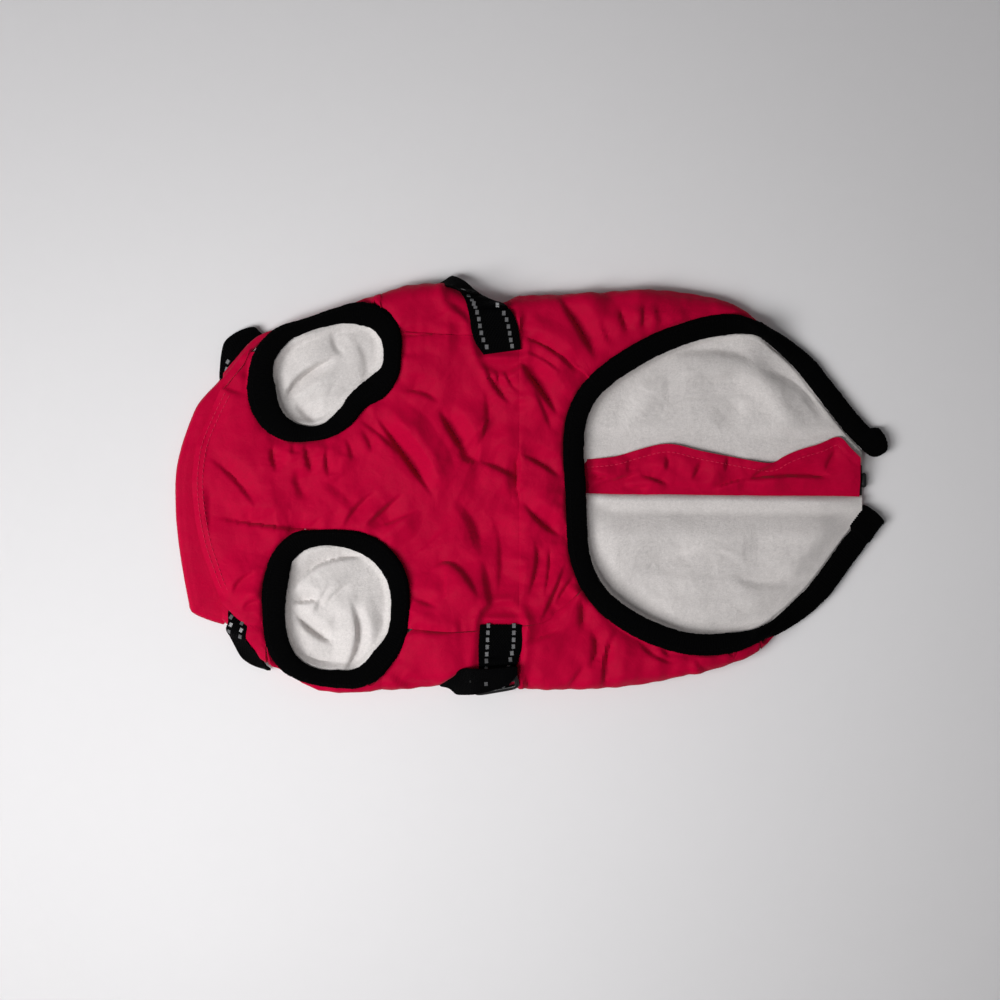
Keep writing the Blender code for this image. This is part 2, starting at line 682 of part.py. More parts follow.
def hem_binding():
    """Ribbed binding carried along the hem: it lies on the roll at the sides, stands where the roll opens
    out, and lies on the floor round the tail."""
    table = hem_path(HEM_STEP)
    path, tilt, half = table[:, :3], np.radians(table[:, 3]), table[:, 4]
    run = path_tangents(path * np.array([1.0, 1.0, 0.0]))
    out = np.column_stack([-run[:, 1], run[:, 0], np.zeros(len(run))])
    wide_axis = out * np.cos(tilt)[:, None] + np.array([0, 0, 1.0]) * np.sin(tilt)[:, None]
    high_axis = np.cross(run, wide_axis)
    wide, high = oval(BINDING_AROUND).T
    rings = []
    for k in range(len(path)):
        ring = path[k] + wide_axis[k] * (wide * half[k])[:, None]
        rings.append(ring + high_axis[k] * (high * BINDING_HALF_THICK)[:, None])
    return solid("hem_binding", np.vstack(rings), ring_faces(len(path), BINDING_AROUND), BLACK, 0.95)


def hem_fore_edge():
    """The hem binding's outer edge in plan, a seam's gap beyond it, over the belly."""
    table = hem_path(4.0)
    run = path_tangents(table[:, :2])
    out = np.column_stack([run[:, 1], -run[:, 0]])
    return table[:, :2] + out * (table[:, 4] + SEAM_GAP)[:, None]


def shell_station(stations, x):
    """A station's values at x. A roll that has not room to close ends where its edge is."""
    at = column(stations, "x")
    station = Station(x, *(float(np.interp(x, at, column(stations, c))) for c in Station._fields[1:]))
    room = (station.side - SHELL_WALL / 2 - station.edge) / station.roll
    turn = station.turn
    if room < 1.0:
        turn = min(turn, math.degrees(math.acos(np.clip(1.0 - room, -1.0, 1.0))))
    return station._replace(turn=turn)


def section_line(station, top, start):
    """Thirteen points along half a section: flat on the floor, round the side, in over the belly side."""
    half_wall = SHELL_WALL / 2
    high = max((top - SHELL_WALL) / 2, 2.0)
    middle = station.side - half_wall - station.roll
    if station.turn < FLAT_TURN:
        flat = np.linspace(start, station.side - half_wall, 13)
        return np.column_stack([flat, np.full(13, half_wall)])
    closes = station.turn >= FULL_TURN and station.edge < middle - 0.5
    arc_count = 8 if closes else 10
    angles = np.radians(np.linspace(-90.0, station.turn, arc_count))
    arc = np.column_stack([middle + station.roll * np.cos(angles), half_wall + high * (1 + np.sin(angles))])
    flat = np.column_stack([np.linspace(start, middle, 4)[:-1], np.full(3, half_wall)])
    if not closes:
        return np.vstack([flat, arc])
    back = np.linspace(middle, station.edge, 3)[1:]
    return np.vstack([flat, arc, np.column_stack([back, np.full(2, arc[-1, 1])])])


def stations_along(stations, cuts):
    """The table's own stations, with more between those far apart, and two at each edge of a recess."""
    own = [row.x for row in stations if SHELL_FRONT <= row.x < SHELL_BACK] + [SHELL_BACK]
    filled = []
    for here, there in zip(own, own[1:]):
        pieces = max(1, int(math.ceil((there - here) / STATION_STEP)))
        filled += [here + (there - here) * k / pieces for k in range(pieces)]
    filled.append(SHELL_BACK)
    inner_cuts = [cut for cut in cuts if cut > SHELL_FRONT]
    kept = [x for x in filled if all(abs(x - cut) > 1.5 for cut in inner_cuts)]
    return sorted(kept + inner_cuts)


def back_shell(name, stations, sign, recesses):
    """Half of the outer back, lofted through its sections. A recess keeps room for a strap under it."""
    cuts = [edge + shift for pair in recesses for edge in pair for shift in (-RECESS_STEP, RECESS_STEP)]
    start = ZIP_CHAIN_HALF + SEAM_GAP + sign * ZIP_Y
    rings = []
    for x in stations_along(stations, cuts):
        station = shell_station(stations, x)
        line = section_line(station, float(side_top(x)), start)
        run = path_tangents(line)
        out = np.column_stack([run[:, 1], -run[:, 0]])
        sunk = STRAP_RECESS if any(low < x < high for low, high in recesses) else 0.0
        depth = sunk * smooth((run[:, 0] + 0.2) / 0.4)
        outer = line + out * (SHELL_WALL / 2 - depth)[:, None]
        inner = line - out * SHELL_WALL / 2
        ring = np.vstack([outer, inner[::-1]])
        rings.append(np.column_stack([np.full(len(ring), x), sign * ring[:, 0], ring[:, 1]]))
    return solid(name, np.vstack(rings), ring_faces(len(rings), len(rings[0])), PINK)


def lining(name, stations, sign, inner_y, plain):
    """Half of the fleece lining: it lies on the shell inside the side roll, plain along its inner edge."""
    xs = np.array([row.x for row in stations])
    xs = xs[(xs >= SHELL_FRONT) & (xs <= SHELL_BACK)]
    rows = [shell_station(stations, x) for x in xs]
    reach = np.array([row.side - (row.roll + SHELL_WALL / 2 if row.turn > FLAT_TURN else SEAM_GAP)
                      for row in rows])
    outer = np.column_stack([xs, sign * reach])
    outline = np.vstack([[xs[0], inner_y], outer, [xs[-1], inner_y]])

    def top(x, y):
        clear = smooth((np.abs(y - inner_y) - plain) / 8.0)
        tail = smooth((x - OPEN_TAIL_X) / 8.0)
        arms = smooth((OPEN_ARM_RADIUS - arm_far(x, y)) / 8.0)
        return LINING_TOP + swollen(x, y) * clear * np.maximum(tail, arms)

    def bottom(x, y):
        return np.full(np.shape(x), LINING_BOTTOM)

    return sheet(name, outline, 15.0, top, bottom, FLEECE, 0.6, 2.5, 1.0)


def arm_far(x, y):
    """Distance to the nearer leg hole's centre."""
    left = np.hypot(x - LEFT_ARM_CENTRE[0], y - LEFT_ARM_CENTRE[1])
    right = np.hypot(x - RIGHT_ARM_CENTRE[0], y - RIGHT_ARM_CENTRE[1])
    return np.minimum(left, right)


def chest_panel():
    left_arm = arm_edge(LEFT_ARM_CENTRE, LEFT_ARM, *LEFT_ARM_CUT)
    right_arm = arm_edge(RIGHT_ARM_CENTRE, RIGHT_ARM, *RIGHT_ARM_CUT)
    neck = rounded_path(NECK_EDGE, 7.0)
    right_seam = np.array(RIGHT_SIDE_SEAM)
    left_seam = np.array(LEFT_SIDE_SEAM)
    right_seam[-1, 0] -= SEAM_GAP / 2
    left_seam[-1, 0] -= SEAM_GAP / 2
    outline = np.vstack([
        neck,
        np.array(RIGHT_SHOULDER),
        right_arm[::-1],
        right_seam,
        left_seam[::-1],
        left_arm[::-1],
        np.array(LEFT_SHOULDER),
    ])
    folds = CHEST_FOLDS + (NECK_RIDGE,)

    def top(x, y):
        strap = smooth((x - STRAP_CALM_X[0]) / 6.0) * smooth((np.abs(y) - STRAP_CALM_Y) / 8.0)
        calm = smooth((arm_far(x, y) - 30.0) / 20.0) * (1.0 - strap)
        return crown(x, y) + folded(x, y, folds) * calm

    def bottom(x, y):
        return crown(x, y) - PANEL_WALL

    return sheet("chest_panel", outline, 7.0, top, bottom, PINK, 1.4, 2.2)


def belly_panel():
    fore = hem_fore_edge()
    left_end = np.argmin(np.linalg.norm(fore - np.array(BELLY_LEFT_SEAM[-1]), axis=1))
    right_end = np.argmin(np.linalg.norm(fore - np.array(BELLY_RIGHT_SEAM[-1]), axis=1))
    left_seam = np.array(BELLY_LEFT_SEAM)[:-1]
    right_seam = np.array(BELLY_RIGHT_SEAM)[:-1]
    left_seam[0, 0] += SEAM_GAP / 2
    right_seam[0, 0] += SEAM_GAP / 2
    outline = np.vstack([left_seam, fore[left_end : right_end + 1], right_seam[::-1]])

    def top(x, y):
        strap = smooth((STRAP_CALM_X[1] - x) / 6.0) * smooth((np.abs(y) - STRAP_CALM_Y) / 8.0)
        return crown(x, y) + folded(x, y, BELLY_FOLDS) * (1.0 - strap)

    def bottom(x, y):
        return crown(x, y) - PANEL_WALL

    return sheet("belly_panel", outline, 7.0, top, bottom, PINK, 1.4, 2.2)


def collar():
    outline = rounded_path(COLLAR_FRONT, 8.0)

    def top(x, y):
        return np.full(np.shape(x), LINING_TOP + 0.1)

    def bottom(x, y):
        return np.zeros(np.shape(x))

    return sheet("collar", outline, 10.0, top, bottom, DEEP_PINK, 2.2, 3.0)


def wind_flap():
    free_edge = np.array(FLAP_FREE_EDGE)
    outline = np.vstack([free_edge, [FLAP_BACK, FLAP_LOW_Y], [FLAP_FRONT, FLAP_LOW_Y]])
    low = LINING_BOTTOM + ZIP_TAPE_WALL + SEAM_GAP
    step = LINING_TOP + SEAM_GAP + FLAP_LIFT - low

    def bottom(x, y):
        return low + step * smooth((y - FLAP_STEP_Y) / FLAP_STEP_LENGTH)

    def top(x, y):
        return bottom(x, y) + FLAP_WALL

    return sheet("wind_flap", outline, 12.0, top, bottom, PINK, 0.2, 1.6)


def zip_run():
    """Both zip tapes and the closed chain below them, one T-shaped section drawn along the body."""
    tape_low = SHELL_WALL + SEAM_GAP
    tape_top = tape_low + ZIP_TAPE_WALL
    profile = [
        (-ZIP_TAPE_HALF, tape_low),
        (-ZIP_CHAIN_HALF, tape_low),
        (-ZIP_CHAIN_HALF, ZIP_CHAIN_LOW),
        (ZIP_CHAIN_HALF, ZIP_CHAIN_LOW),
        (ZIP_CHAIN_HALF, tape_low),
        (ZIP_TAPE_HALF, tape_low),
        (ZIP_TAPE_HALF, tape_top),
        (-ZIP_TAPE_HALF, tape_top),
    ]
    ends = (SHELL_FRONT + 1.0, ZIP_BACK)
    points = [(x, ZIP_Y + y, z) for x in ends for y, z in profile]
    return solid("zip", points, ring_faces(2, len(profile)), BLACK, 0.7)


def zip_stop():
    """The small block that closes the zip's end."""
    long, wide, high = ZIP_STOP_SIZE
    near = ZIP_BACK + SEAM_GAP
    plan = ((near, -wide / 2), (near + long, -wide / 2), (near + long, wide / 2), (near, wide / 2))
    corners = [(x, ZIP_Y + y, z) for z in (ZIP_STOP_LOW, ZIP_STOP_LOW + high) for x, y in plan]
    return solid("zip_stop", corners, ring_faces(2, 4), BLACK_PLASTIC, 0.4)


def ribbon(name, rows, step):
    """Flat webbing along a path: each row holds a point of its centre line and the way its face looks."""
    table = rounded_path(rows, step)
    path, face = table[:, :3], unit(table[:, 3:6])
    run = path_tangents(path)
    across = unit(np.cross(face, run))
    face = np.cross(run, across)
    corners = ((-1, -1), (1, -1), (1, 1), (-1, 1))
    rings = []
    for k in range(len(path)):
        rings.append([path[k] + across[k] * a * STRAP_WIDTH / 2 + face[k] * b * STRAP_WALL / 2
                      for a, b in corners])
    return solid(name, np.vstack(rings), ring_faces(len(path), 4), BLACK, 0.8)


def widest_station(stations, x):
    """The section at x, as wide as the widest one below a strap centred there."""
    below = np.linspace(x - STRAP_WIDTH / 2, x + STRAP_WIDTH / 2, 9)
    reach = max(shell_station(stations, at).side for at in below)
    return shell_station(stations, x)._replace(side=reach)


def roll_rows(stations, sign, x, drift, angles):
    """Webbing round the side roll at x, drifting along the body as it climbs."""
    station = widest_station(stations, x)
    half_high = float(side_top(x)) / 2
    middle = station.side - SHELL_WALL / 2 - station.roll
    rows = []
    for angle, lift in angles:
        turned = math.radians(angle)
        wide = station.roll + SHELL_WALL / 2 + lift
        moved = x + drift * max(0.0, angle / 90.0)
        rows.append((moved, sign * (middle + wide * math.cos(turned)),
                     half_high + (half_high + lift) * math.sin(turned),
                     0.0, sign * math.cos(turned), math.sin(turned)))
    return rows


def under_rows(stations, sign, x):
    """Webbing flat below the coat, from its sewn end beside the zip to the side roll."""
    station = shell_station(stations, x)
    middle = station.side - SHELL_WALL / 2 - station.roll
    start = GIRTH_START + sign * ZIP_Y
    reach = np.linspace(start, middle - 3.0, 4)
    return [(x, sign * y, STRAP_UNDER_Z, 0.0, 0.0, -1.0) for y in reach]


def top_rows(points):
    return [(p.x, p.y, float(crown(p.x, p.y)) + STRAP_LIFT - 0.2, 0.0, 0.0, 1.0) for p in points]


def girth_strap_left():
    rows = under_rows(LEFT_STATIONS, 1.0, LEFT_GIRTH_X)
    rows += roll_rows(LEFT_STATIONS, 1.0, LEFT_GIRTH_X, GIRTH_DRIFT, ROLL_LIFTS)
    rows += top_rows(LEFT_GIRTH_TOP)
    return ribbon("girth_strap_left", rows, 5.0)


def slider_axes():
    """The slider's middle on the right side roll, its direction down the roll and its outward face."""
    station = widest_station(RIGHT_STATIONS, RIGHT_GIRTH_X)
    half_high = float(side_top(RIGHT_GIRTH_X)) / 2
    middle = station.side - SHELL_WALL / 2 - station.roll
    turned = math.radians(SLIDER_TILT)
    face = np.array([0.0, -math.cos(turned), math.sin(turned)])
    down = np.array([0.0, -math.sin(turned), -math.cos(turned)])
    wide = station.roll + SHELL_WALL / 2
    seat = np.array([RIGHT_GIRTH_X, -(middle + wide * math.cos(turned)),
                     half_high * (1 + math.sin(turned))])
    return seat + face * SLIDER_LIFT, down, face


def girth_strap_right():
    centre, down, face = slider_axes()
    end = SLIDER_BARS[-1][1] - SLIDER_THICK / 2
    rows = under_rows(RIGHT_STATIONS, -1.0, RIGHT_GIRTH_X)
    rows += roll_rows(RIGHT_STATIONS, -1.0, RIGHT_GIRTH_X, 0.0, ROLL_LIFTS[:3])
    for along in np.linspace(end, -end, 9):
        swing = SLIDER_WAVE * math.cos(math.pi * along / end)
        rows.append((*(centre + down * along + face * swing), *face))
    rows += top_rows(RIGHT_GIRTH_TOP[::-1])
    return ribbon("girth_strap_right", rows, 3.0)


def strap_slider():
    """A three-bar slider: a flat frame with two windows."""
    centre, down, face = slider_axes()
    wide = (-SLIDER_WIDTH / 2, -SLIDER_WINDOW / 2, SLIDER_WINDOW / 2, SLIDER_WIDTH / 2)
    deep = tuple(edge for bar in SLIDER_BARS for edge in bar)
    full = [[i != 1 or j % 2 == 0 for j in range(len(deep) - 1)] for i in range(len(wide) - 1)]
    index, points = {}, []
    for level in (-1, 1):
        for i, a in enumerate(wide):
            for j, b in enumerate(deep):
                index[level, i, j] = len(points)
                spot = centre + np.array([a, 0.0, 0.0]) + down * b + face * level * SLIDER_THICK / 2
                points.append(spot)
    faces = []
    for i in range(len(wide) - 1):
        for j in range(len(deep) - 1):
            if not full[i][j]:
                continue
            around = ((i, j), (i + 1, j), (i + 1, j + 1), (i, j + 1))
            faces.append(tuple(index[1, *c] for c in around))
            faces.append(tuple(index[-1, *c] for c in around[::-1]))
            beside = ((i, j - 1), (i + 1, j), (i, j + 1), (i - 1, j))
            for k, (bi, bj) in enumerate(beside):
                held = 0 <= bi < len(wide) - 1 and 0 <= bj < len(deep) - 1 and full[bi][bj]
                if not held:
                    a, b = around[k], around[(k + 1) % 4]
                    faces.append((index[-1, *a], index[-1, *b], index[1, *b], index[1, *a]))
    return solid("strap_slider", points, faces, BLACK_PLASTIC, 0.45)


def strap_tail():
    """The free end of the right girth strap, lying against the side roll."""
    rings = []
    for x in np.linspace(*TAIL_ENDS, 4):
        station = shell_station(RIGHT_STATIONS, x)
        half_high = float(side_top(x)) / 2
        middle = station.side - SHELL_WALL / 2 - station.roll
        ring = []
        for lift, ends in ((TAIL_LIFT, TAIL_SWEEP), (TAIL_LIFT + TAIL_WALL, TAIL_SWEEP[::-1])):
            for turned in np.radians(np.linspace(*ends, TAIL_COUNT)):
                wide = station.roll + SHELL_WALL / 2 + lift
                ring.append((x, -(middle + wide * math.cos(turned)),
                             half_high + (half_high + lift) * math.sin(turned)))
        rings.append(ring)
    return solid("strap_tail", np.vstack(rings), ring_faces(len(rings), 2 * TAIL_COUNT), BLACK, 0.8)


def neck_strap(name, wrap):
    """Webbing wrapped round the shoulder's edge: sewn down on the belly side, and ending below the coat."""
    out = unit(np.array([wrap.face_x, wrap.face_y, 0.0]))
    edge = np.array([wrap.x, wrap.y, 0.0])
    half_high = float(side_top(wrap.x)) / 2
    up = np.array([0.0, 0.0, 1.0])
    rows = []
    for back in (NECK_STRAP_UNDER, NECK_STRAP_UNDER / 2 + 2.0):
        rows.append((*(edge - out * back + up * STRAP_UNDER_Z), 0.0, 0.0, -1.0))
    for angle, lift in ROLL_LIFTS:
        turned = math.radians(angle)
        spot = edge + out * ((wrap.roll + lift) * math.cos(turned) - wrap.roll)
        spot = spot + up * (half_high + (half_high + lift) * math.sin(turned))
        rows.append((*spot, *(out * math.cos(turned) + up * math.sin(turned))))
    top = float(side_top(wrap.x + STRAP_WIDTH / 2)) + STRAP_LIFT
    for back in (wrap.roll, NECK_STRAP_REACH):
        rows.append((*(edge - out * back + up * top), 0.0, 0.0, 1.0))
    return ribbon(name, rows, 4.0)


def centre_in_plan():
    """Moves every piece alike, so that the origin lies on the floor below the middle of the coat."""
    corners = np.array([v.co[:] for piece in bpy.data.objects for v in piece.data.vertices])
    middle = (corners.min(axis=0) + corners.max(axis=0)) / 2
    for piece in bpy.data.objects:
        piece.location = (-middle[0], -middle[1], 0.0)


def build():
    for old in list(bpy.data.objects):
        bpy.data.objects.remove(old)
    half = STRAP_WIDTH / 2 + RECESS_CLEAR
    neck_recess = (SHELL_FRONT - STATION_STEP, NECK_RECESS_BACK)
    left_recess = (neck_recess, (LEFT_GIRTH_X - half, LEFT_GIRTH_X + half))
    right_recess = (neck_recess, (RIGHT_GIRTH_X - half, RIGHT_GIRTH_X + half))
    back_shell("back_shell_left", LEFT_STATIONS, 1.0, left_recess)
    back_shell("back_shell_right", RIGHT_STATIONS, -1.0, right_recess)
    lining("lining_left", LEFT_STATIONS, 1.0, ZIP_Y + ZIP_TAPE_HALF + SEAM_GAP, 16.0)
    lining("lining_right", RIGHT_STATIONS, -1.0, FLAP_LOW_Y - SEAM_GAP, 2.0)
    chest_panel()
    belly_panel()
    collar()
    wind_flap()
    zip_run()
    zip_stop()
    arm_binding("armhole_binding_left", LEFT_ARM_CENTRE, LEFT_ARM)
    arm_binding("armhole_binding_right", RIGHT_ARM_CENTRE, RIGHT_ARM)
    hem_binding()
    girth_strap_left()
    girth_strap_right()
    strap_slider()
    strap_tail()
    neck_strap("neck_strap_left", LEFT_NECK_WRAP)
    neck_strap("neck_strap_right", RIGHT_NECK_WRAP)
    centre_in_plan()


build()
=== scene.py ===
"""Dog winter coat, laid flat with its belly side up: cloth, bindings, webbing and zip, with their finishes.

X runs from the neck (-X) to the tail (+X), +Y is the dog's left side, and the back rests on z = 0.
Tables are in millimetres, as the solids' own are. PLAN_SHIFT moves them to where the solids stand.
"""

import math
from collections import namedtuple

import bpy
import numpy as np
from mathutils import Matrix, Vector


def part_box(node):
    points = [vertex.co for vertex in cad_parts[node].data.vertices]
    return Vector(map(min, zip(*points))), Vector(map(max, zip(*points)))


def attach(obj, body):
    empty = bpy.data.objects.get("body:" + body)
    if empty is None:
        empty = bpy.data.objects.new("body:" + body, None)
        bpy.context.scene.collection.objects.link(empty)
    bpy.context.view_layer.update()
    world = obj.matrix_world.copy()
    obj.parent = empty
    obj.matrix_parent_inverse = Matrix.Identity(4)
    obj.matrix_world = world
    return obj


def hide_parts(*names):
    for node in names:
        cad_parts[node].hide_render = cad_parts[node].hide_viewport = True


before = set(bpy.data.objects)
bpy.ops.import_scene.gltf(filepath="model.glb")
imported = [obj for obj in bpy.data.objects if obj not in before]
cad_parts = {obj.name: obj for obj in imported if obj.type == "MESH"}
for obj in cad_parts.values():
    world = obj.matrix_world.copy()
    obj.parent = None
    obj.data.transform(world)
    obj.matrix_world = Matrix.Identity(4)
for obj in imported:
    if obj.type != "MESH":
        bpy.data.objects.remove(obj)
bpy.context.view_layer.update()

bl_info = {
    "name": "Dog winter coat",
    "version": (1, 0, 0),
    "blender": (4, 5, 0),
    "location": "3D View > Sidebar > Coat",
    "description": "Builds the cloth, bindings, webbing, zip and finishes of a dog's winter coat",
    "category": "Object",
}

MM = 0.001
ZIP_LOW, ZIP_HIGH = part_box("zip")
ZIP_Y = 3.0
ZIP_BACK = 198.5
PLAN_SHIFT = np.array([ZIP_HIGH.x / MM - ZIP_BACK, (ZIP_LOW.y + ZIP_HIGH.y) / 2 / MM - ZIP_Y, 0.0])

# Cloth, from the floor up
SEAM_GAP = 0.3
SHELL_WALL = 3.0
LINING_BOTTOM = 3.3
LINING_TOP = 5.8
PANEL_WALL = 4.0
CENTRE_TOP = 11.9
SUNK_HALF = 20.0
SHOULDER_Y = 84.0
SHELL_FRONT = -186.0
SHELL_BACK = 200.5
WAIST_X = -7.0
ZIP_CHAIN_HALF = 2.9
FLAP_LOW_Y = -6.9

# Bindings and webbing
BINDING_HALF_THICK = 2.7
STRAP_LIFT = 1.4
STRAP_UNDER_Z = 0.85
LEFT_GIRTH_X = -43.5
RIGHT_GIRTH_X = -22.0
SLIDER_LIFT = 2.6
SLIDER_TILT = 58.0
SLIDER_SKEW = 12.0

# How high the belly side stands above the floor beside the side seams: x, height
HEIGHTS = (
    (-206, 10.6), (-186, 11.5), (-165, 14), (-120, 16), (-75, 18.5), (-20, 17.5),
    (30, 18), (90, 16.5), (115, 14), (131, 11), (140, 8),
)

# Sections across half of the back: x, side (how far it reaches), roll (width of its side roll), turn
# (the angle at which a short roll ends) and edge (where a full roll ends on the belly side)
LEFT_STATIONS = (
    (-186, 68, 5, 90, 60.9), (-178, 77.5, 5, 90, 70.1), (-171, 85.2, 5.5, 90, 78.7),
    (-165.2, 89.8, 6, 60, 83.9), (-160, 92.2, 6, 34, 80), (-150, 95.4, 7, 24, 80),
    (-141, 98.4, 8, 26, 80), (-130, 103, 8, 28, 80), (-120, 105.4, 8, 28, 80),
    (-110, 109, 8, 28, 80), (-101, 112.6, 8, 28, 90), (-94.6, 114.2, 8, 90, 110.4),
    (-89, 115.8, 8, 90, 106), (-85, 117.2, 8, 90, 102), (-79.6, 119, 8, 90, 95.2),
    (-77.2, 119.8, 8, 90, 92.4), (-66, 121.4, 8, 90, 91.5), (-50, 121.2, 8, 90, 90.4),
    (-36, 115, 8, 90, 90), (-21, 108.2, 8, 90, 89.4), (-7, 114.5, 8, 90, 88.8),
    (10, 115.2, 8, 90, 83.5), (35, 116.2, 8, 90, 66.2), (41.5, 116.4, 8, 90, 72.5),
    (48, 117, 8, 90, 78), (56, 117.4, 8, 90, 82.9), (71, 117.6, 8, 90, 90.9),
    (87, 116.8, 8, 90, 97.4), (103, 114.6, 7, 90, 102.5), (113, 112.6, 6, 90, 103.8),
    (122, 109.6, 5.5, 90, 103.4), (131, 104.8, 4.5, 90, 99), (138, 98.8, 4, 90, 94.5),
    (143, 94, 3.5, 30, 90), (148, 87, 3, -60, 80), (152, 80.2, 3, -88, 74), (158, 71.4, 3, -88, 68),
    (167, 59.4, 3, -88, 56), (176, 46.6, 3, -88, 43), (185, 33.8, 3, -88, 30),
    (193, 24, 3, -88, 20), (198, 18, 3, -88, 14),
)
RIGHT_STATIONS = (
    (-186, 82, 5, 90, 73.2), (-178, 89.4, 5, 90, 79.4), (-171, 97, 5.5, 90, 83.6),
    (-163, 105, 6, 90, 84.6), (-158.8, 107, 6, 90, 90), (-156, 108.6, 6, 60, 100),
    (-147, 113.6, 7, 24, 104), (-138, 119.6, 8, 26, 106), (-128, 124.2, 8, 28, 108),
    (-116, 125.8, 8, 28, 110), (-104, 125.4, 8, 28, 110), (-97, 124.8, 8, 90, 121),
    (-93, 124, 8, 90, 119), (-89, 123.6, 8, 90, 113), (-84, 123.4, 8, 90, 106),
    (-79, 123.2, 8, 90, 97), (-74, 122.8, 8, 90, 90.4), (-71.6, 122.4, 8, 90, 88.6),
    (-64, 121.6, 8, 90, 87.5), (-50, 120, 8, 90, 88.4), (-36, 120.6, 8, 90, 87.8),
    (-20, 119.6, 8, 90, 86), (-7, 122.6, 8, 90, 84.6), (10, 124, 8, 90, 81.5),
    (30.8, 123.6, 8, 90, 64.2), (34, 123.4, 8, 90, 69.2), (39.5, 123.2, 8, 90, 76.2),
    (44, 122.8, 8, 90, 80.2), (50, 122.4, 8, 90, 85), (60, 121, 8, 90, 90.9),
    (72, 119, 8, 90, 96.4), (85, 116.6, 8, 90, 101), (95, 114, 7.5, 90, 103.2),
    (105, 112.6, 7, 90, 104), (113, 110.8, 6, 90, 103.4), (122, 107.6, 5.5, 90, 101.6),
    (131, 104.4, 4.5, 90, 96.5), (138, 100.6, 4, 90, 93), (143, 96.4, 3.5, 30, 90),
    (148, 90.6, 3, -60, 82), (152, 84, 3, -88, 77), (158, 74, 3, -88, 68), (167, 60, 3, -88, 56),
    (176, 47.4, 3, -88, 44), (185, 35.4, 3, -88, 32), (193, 25, 3, -88, 22),
    (198, 19.6, 3, -88, 16),
)

# The hem binding's centre line from its upper end at the tail round the belly to its lower end: x, y, z,
# tilt (how far its width is turned up from level) and half (half of its width)
HEM = (
    (208.6, 16.8, 3, 0, 5.7), (205.8, 25, 3.1, 0, 6.4), (194.2, 37.6, 3.1, 0, 6.4),
    (176.4, 60.2, 3.1, 0, 6.4), (166.4, 72.8, 3.2, 4, 6.2), (155.6, 82.4, 4.4, 14, 5.4),
    (147, 88.4, 7.6, 38, 5), (138.6, 93.4, 10.6, 90, 4.6), (130.5, 95.8, 11.6, 152, 5.2),
    (121, 96.8, 12.2, 172, 6.2), (105, 94.8, 13.6, 180, 6.6), (89.1, 90, 15, 180, 6.6),
    (74, 83.8, 16.2, 180, 6.6), (59.7, 75.8, 17, 180, 6.6), (45.6, 66.2, 17, 180, 6.4),
    (34, 54.4, 15.4, 180, 6.2), (27.2, 39, 12.6, 180, 6.2), (25.6, 20, 10.8, 180, 6.4),
    (26.8, 0, 10.6, 180, 6.4), (27.6, -22, 10.8, 180, 6.4), (29, -41, 12.8, 180, 6.2),
    (34.6, -57.6, 15.4, 180, 6.2), (44, -70.4, 17, 180, 6.4), (57.5, -80.8, 17, 180, 6.6),
    (72.4, -88.6, 16.2, 180, 6.6), (89.6, -94.4, 15, 180, 6.6), (105.4, -96.2, 13.6, 180, 6.6),
    (120.4, -95, 12.2, 172, 6.2), (130.5, -92.6, 11.6, 152, 5.2), (138.6, -89.6, 10.6, 90, 4.6),
    (147.2, -86.2, 7.6, 38, 5), (156.2, -80.4, 4.4, 14, 5.6), (165.4, -73, 3.2, 4, 6.4),
    (176.2, -62, 3.1, 0, 6.8), (192.4, -39.8, 3.1, 0, 6.8), (201.6, -28, 3.1, 0, 6.6),
    (210.4, -17.2, 3, 0, 6.2),
)

# The leg holes' bindings: inner and outer radius round a centre, every 15 degrees from 0
LEFT_ARM_CENTRE = (-123.6, 67.8)
LEFT_ARM = (
    (32.7, 44.5), (36.4, 47.4), (38.8, 51.6), (37.9, 52.4), (33.8, 47.6), (30.1, 40.6),
    (27.3, 36.4), (26.4, 34.8), (26.7, 35.6), (28.5, 38.8), (29.5, 42.0), (31.2, 44.6),
    (31.5, 46.4), (31.4, 48.8), (33.4, 50.6), (35.2, 50.4), (35.2, 47.4), (33.6, 43.0),
    (30.4, 39.9), (25.6, 36.9), (22.2, 34.2), (19.9, 32.2), (20.6, 34.3), (25.2, 40.2),
)
RIGHT_ARM_CENTRE = (-116.4, -76.2)
RIGHT_ARM = (
    (32.2, 43.4), (33.3, 45.2), (35.1, 47.4), (36.1, 49.0), (37.2, 49.8), (37.9, 49.8),
    (39.3, 49.2), (40.9, 50.8), (41.8, 54.4), (40.2, 53.2), (34.6, 49.6), (32.0, 47.0),
    (31.5, 45.3), (32.1, 46.2), (33.8, 48.0), (35.9, 48.6), (36.4, 47.4), (35.9, 46.0),
    (34.9, 45.9), (35.8, 47.4), (34.4, 47.6), (32.2, 45.4), (32.6, 44.6), (32.5, 43.8),
)

# Outlines and seams in plan: x, y
NECK_EDGE = ((-185.4, 60.4), (-189.6, 53), (-197, 38), (-202.6, 22), (-204.6, -3), (-200.4, -33),
             (-192, -58), (-185, -73))
LEFT_SHOULDER = ((-169, 80.2), (-173.4, 78.6), (-177.2, 73.6), (-180.4, 68.2), (-185.4, 61.6))
RIGHT_SHOULDER = ((-185, -73), (-179, -79.6), (-170.6, -84.4), (-161.4, -84.6))
LEFT_SIDE_SEAM = ((-84, 91), (-66, 91), (-50, 90), (-36, 89.6), (-20, 89), (-7, 88.4), (10, 83), (34.6, 64.8))
RIGHT_SIDE_SEAM = ((-84, -85), (-64, -87), (-50, -88), (-36, -87.4), (-20, -85.6), (-7, -84.2), (10, -81),
                   (30.6, -62.6))
COLLAR_FRONT = ((-186.3, 67.5), (-190, 62.2), (-196, 56), (-202.4, 48), (-207.6, 36), (-212.2, 22), (-215.2, 6),
                (-215.4, -14), (-213.8, -33), (-211, -52), (-207.6, -70), (-205.6, -77), (-196, -81.6),
                (-186.3, -84.6))
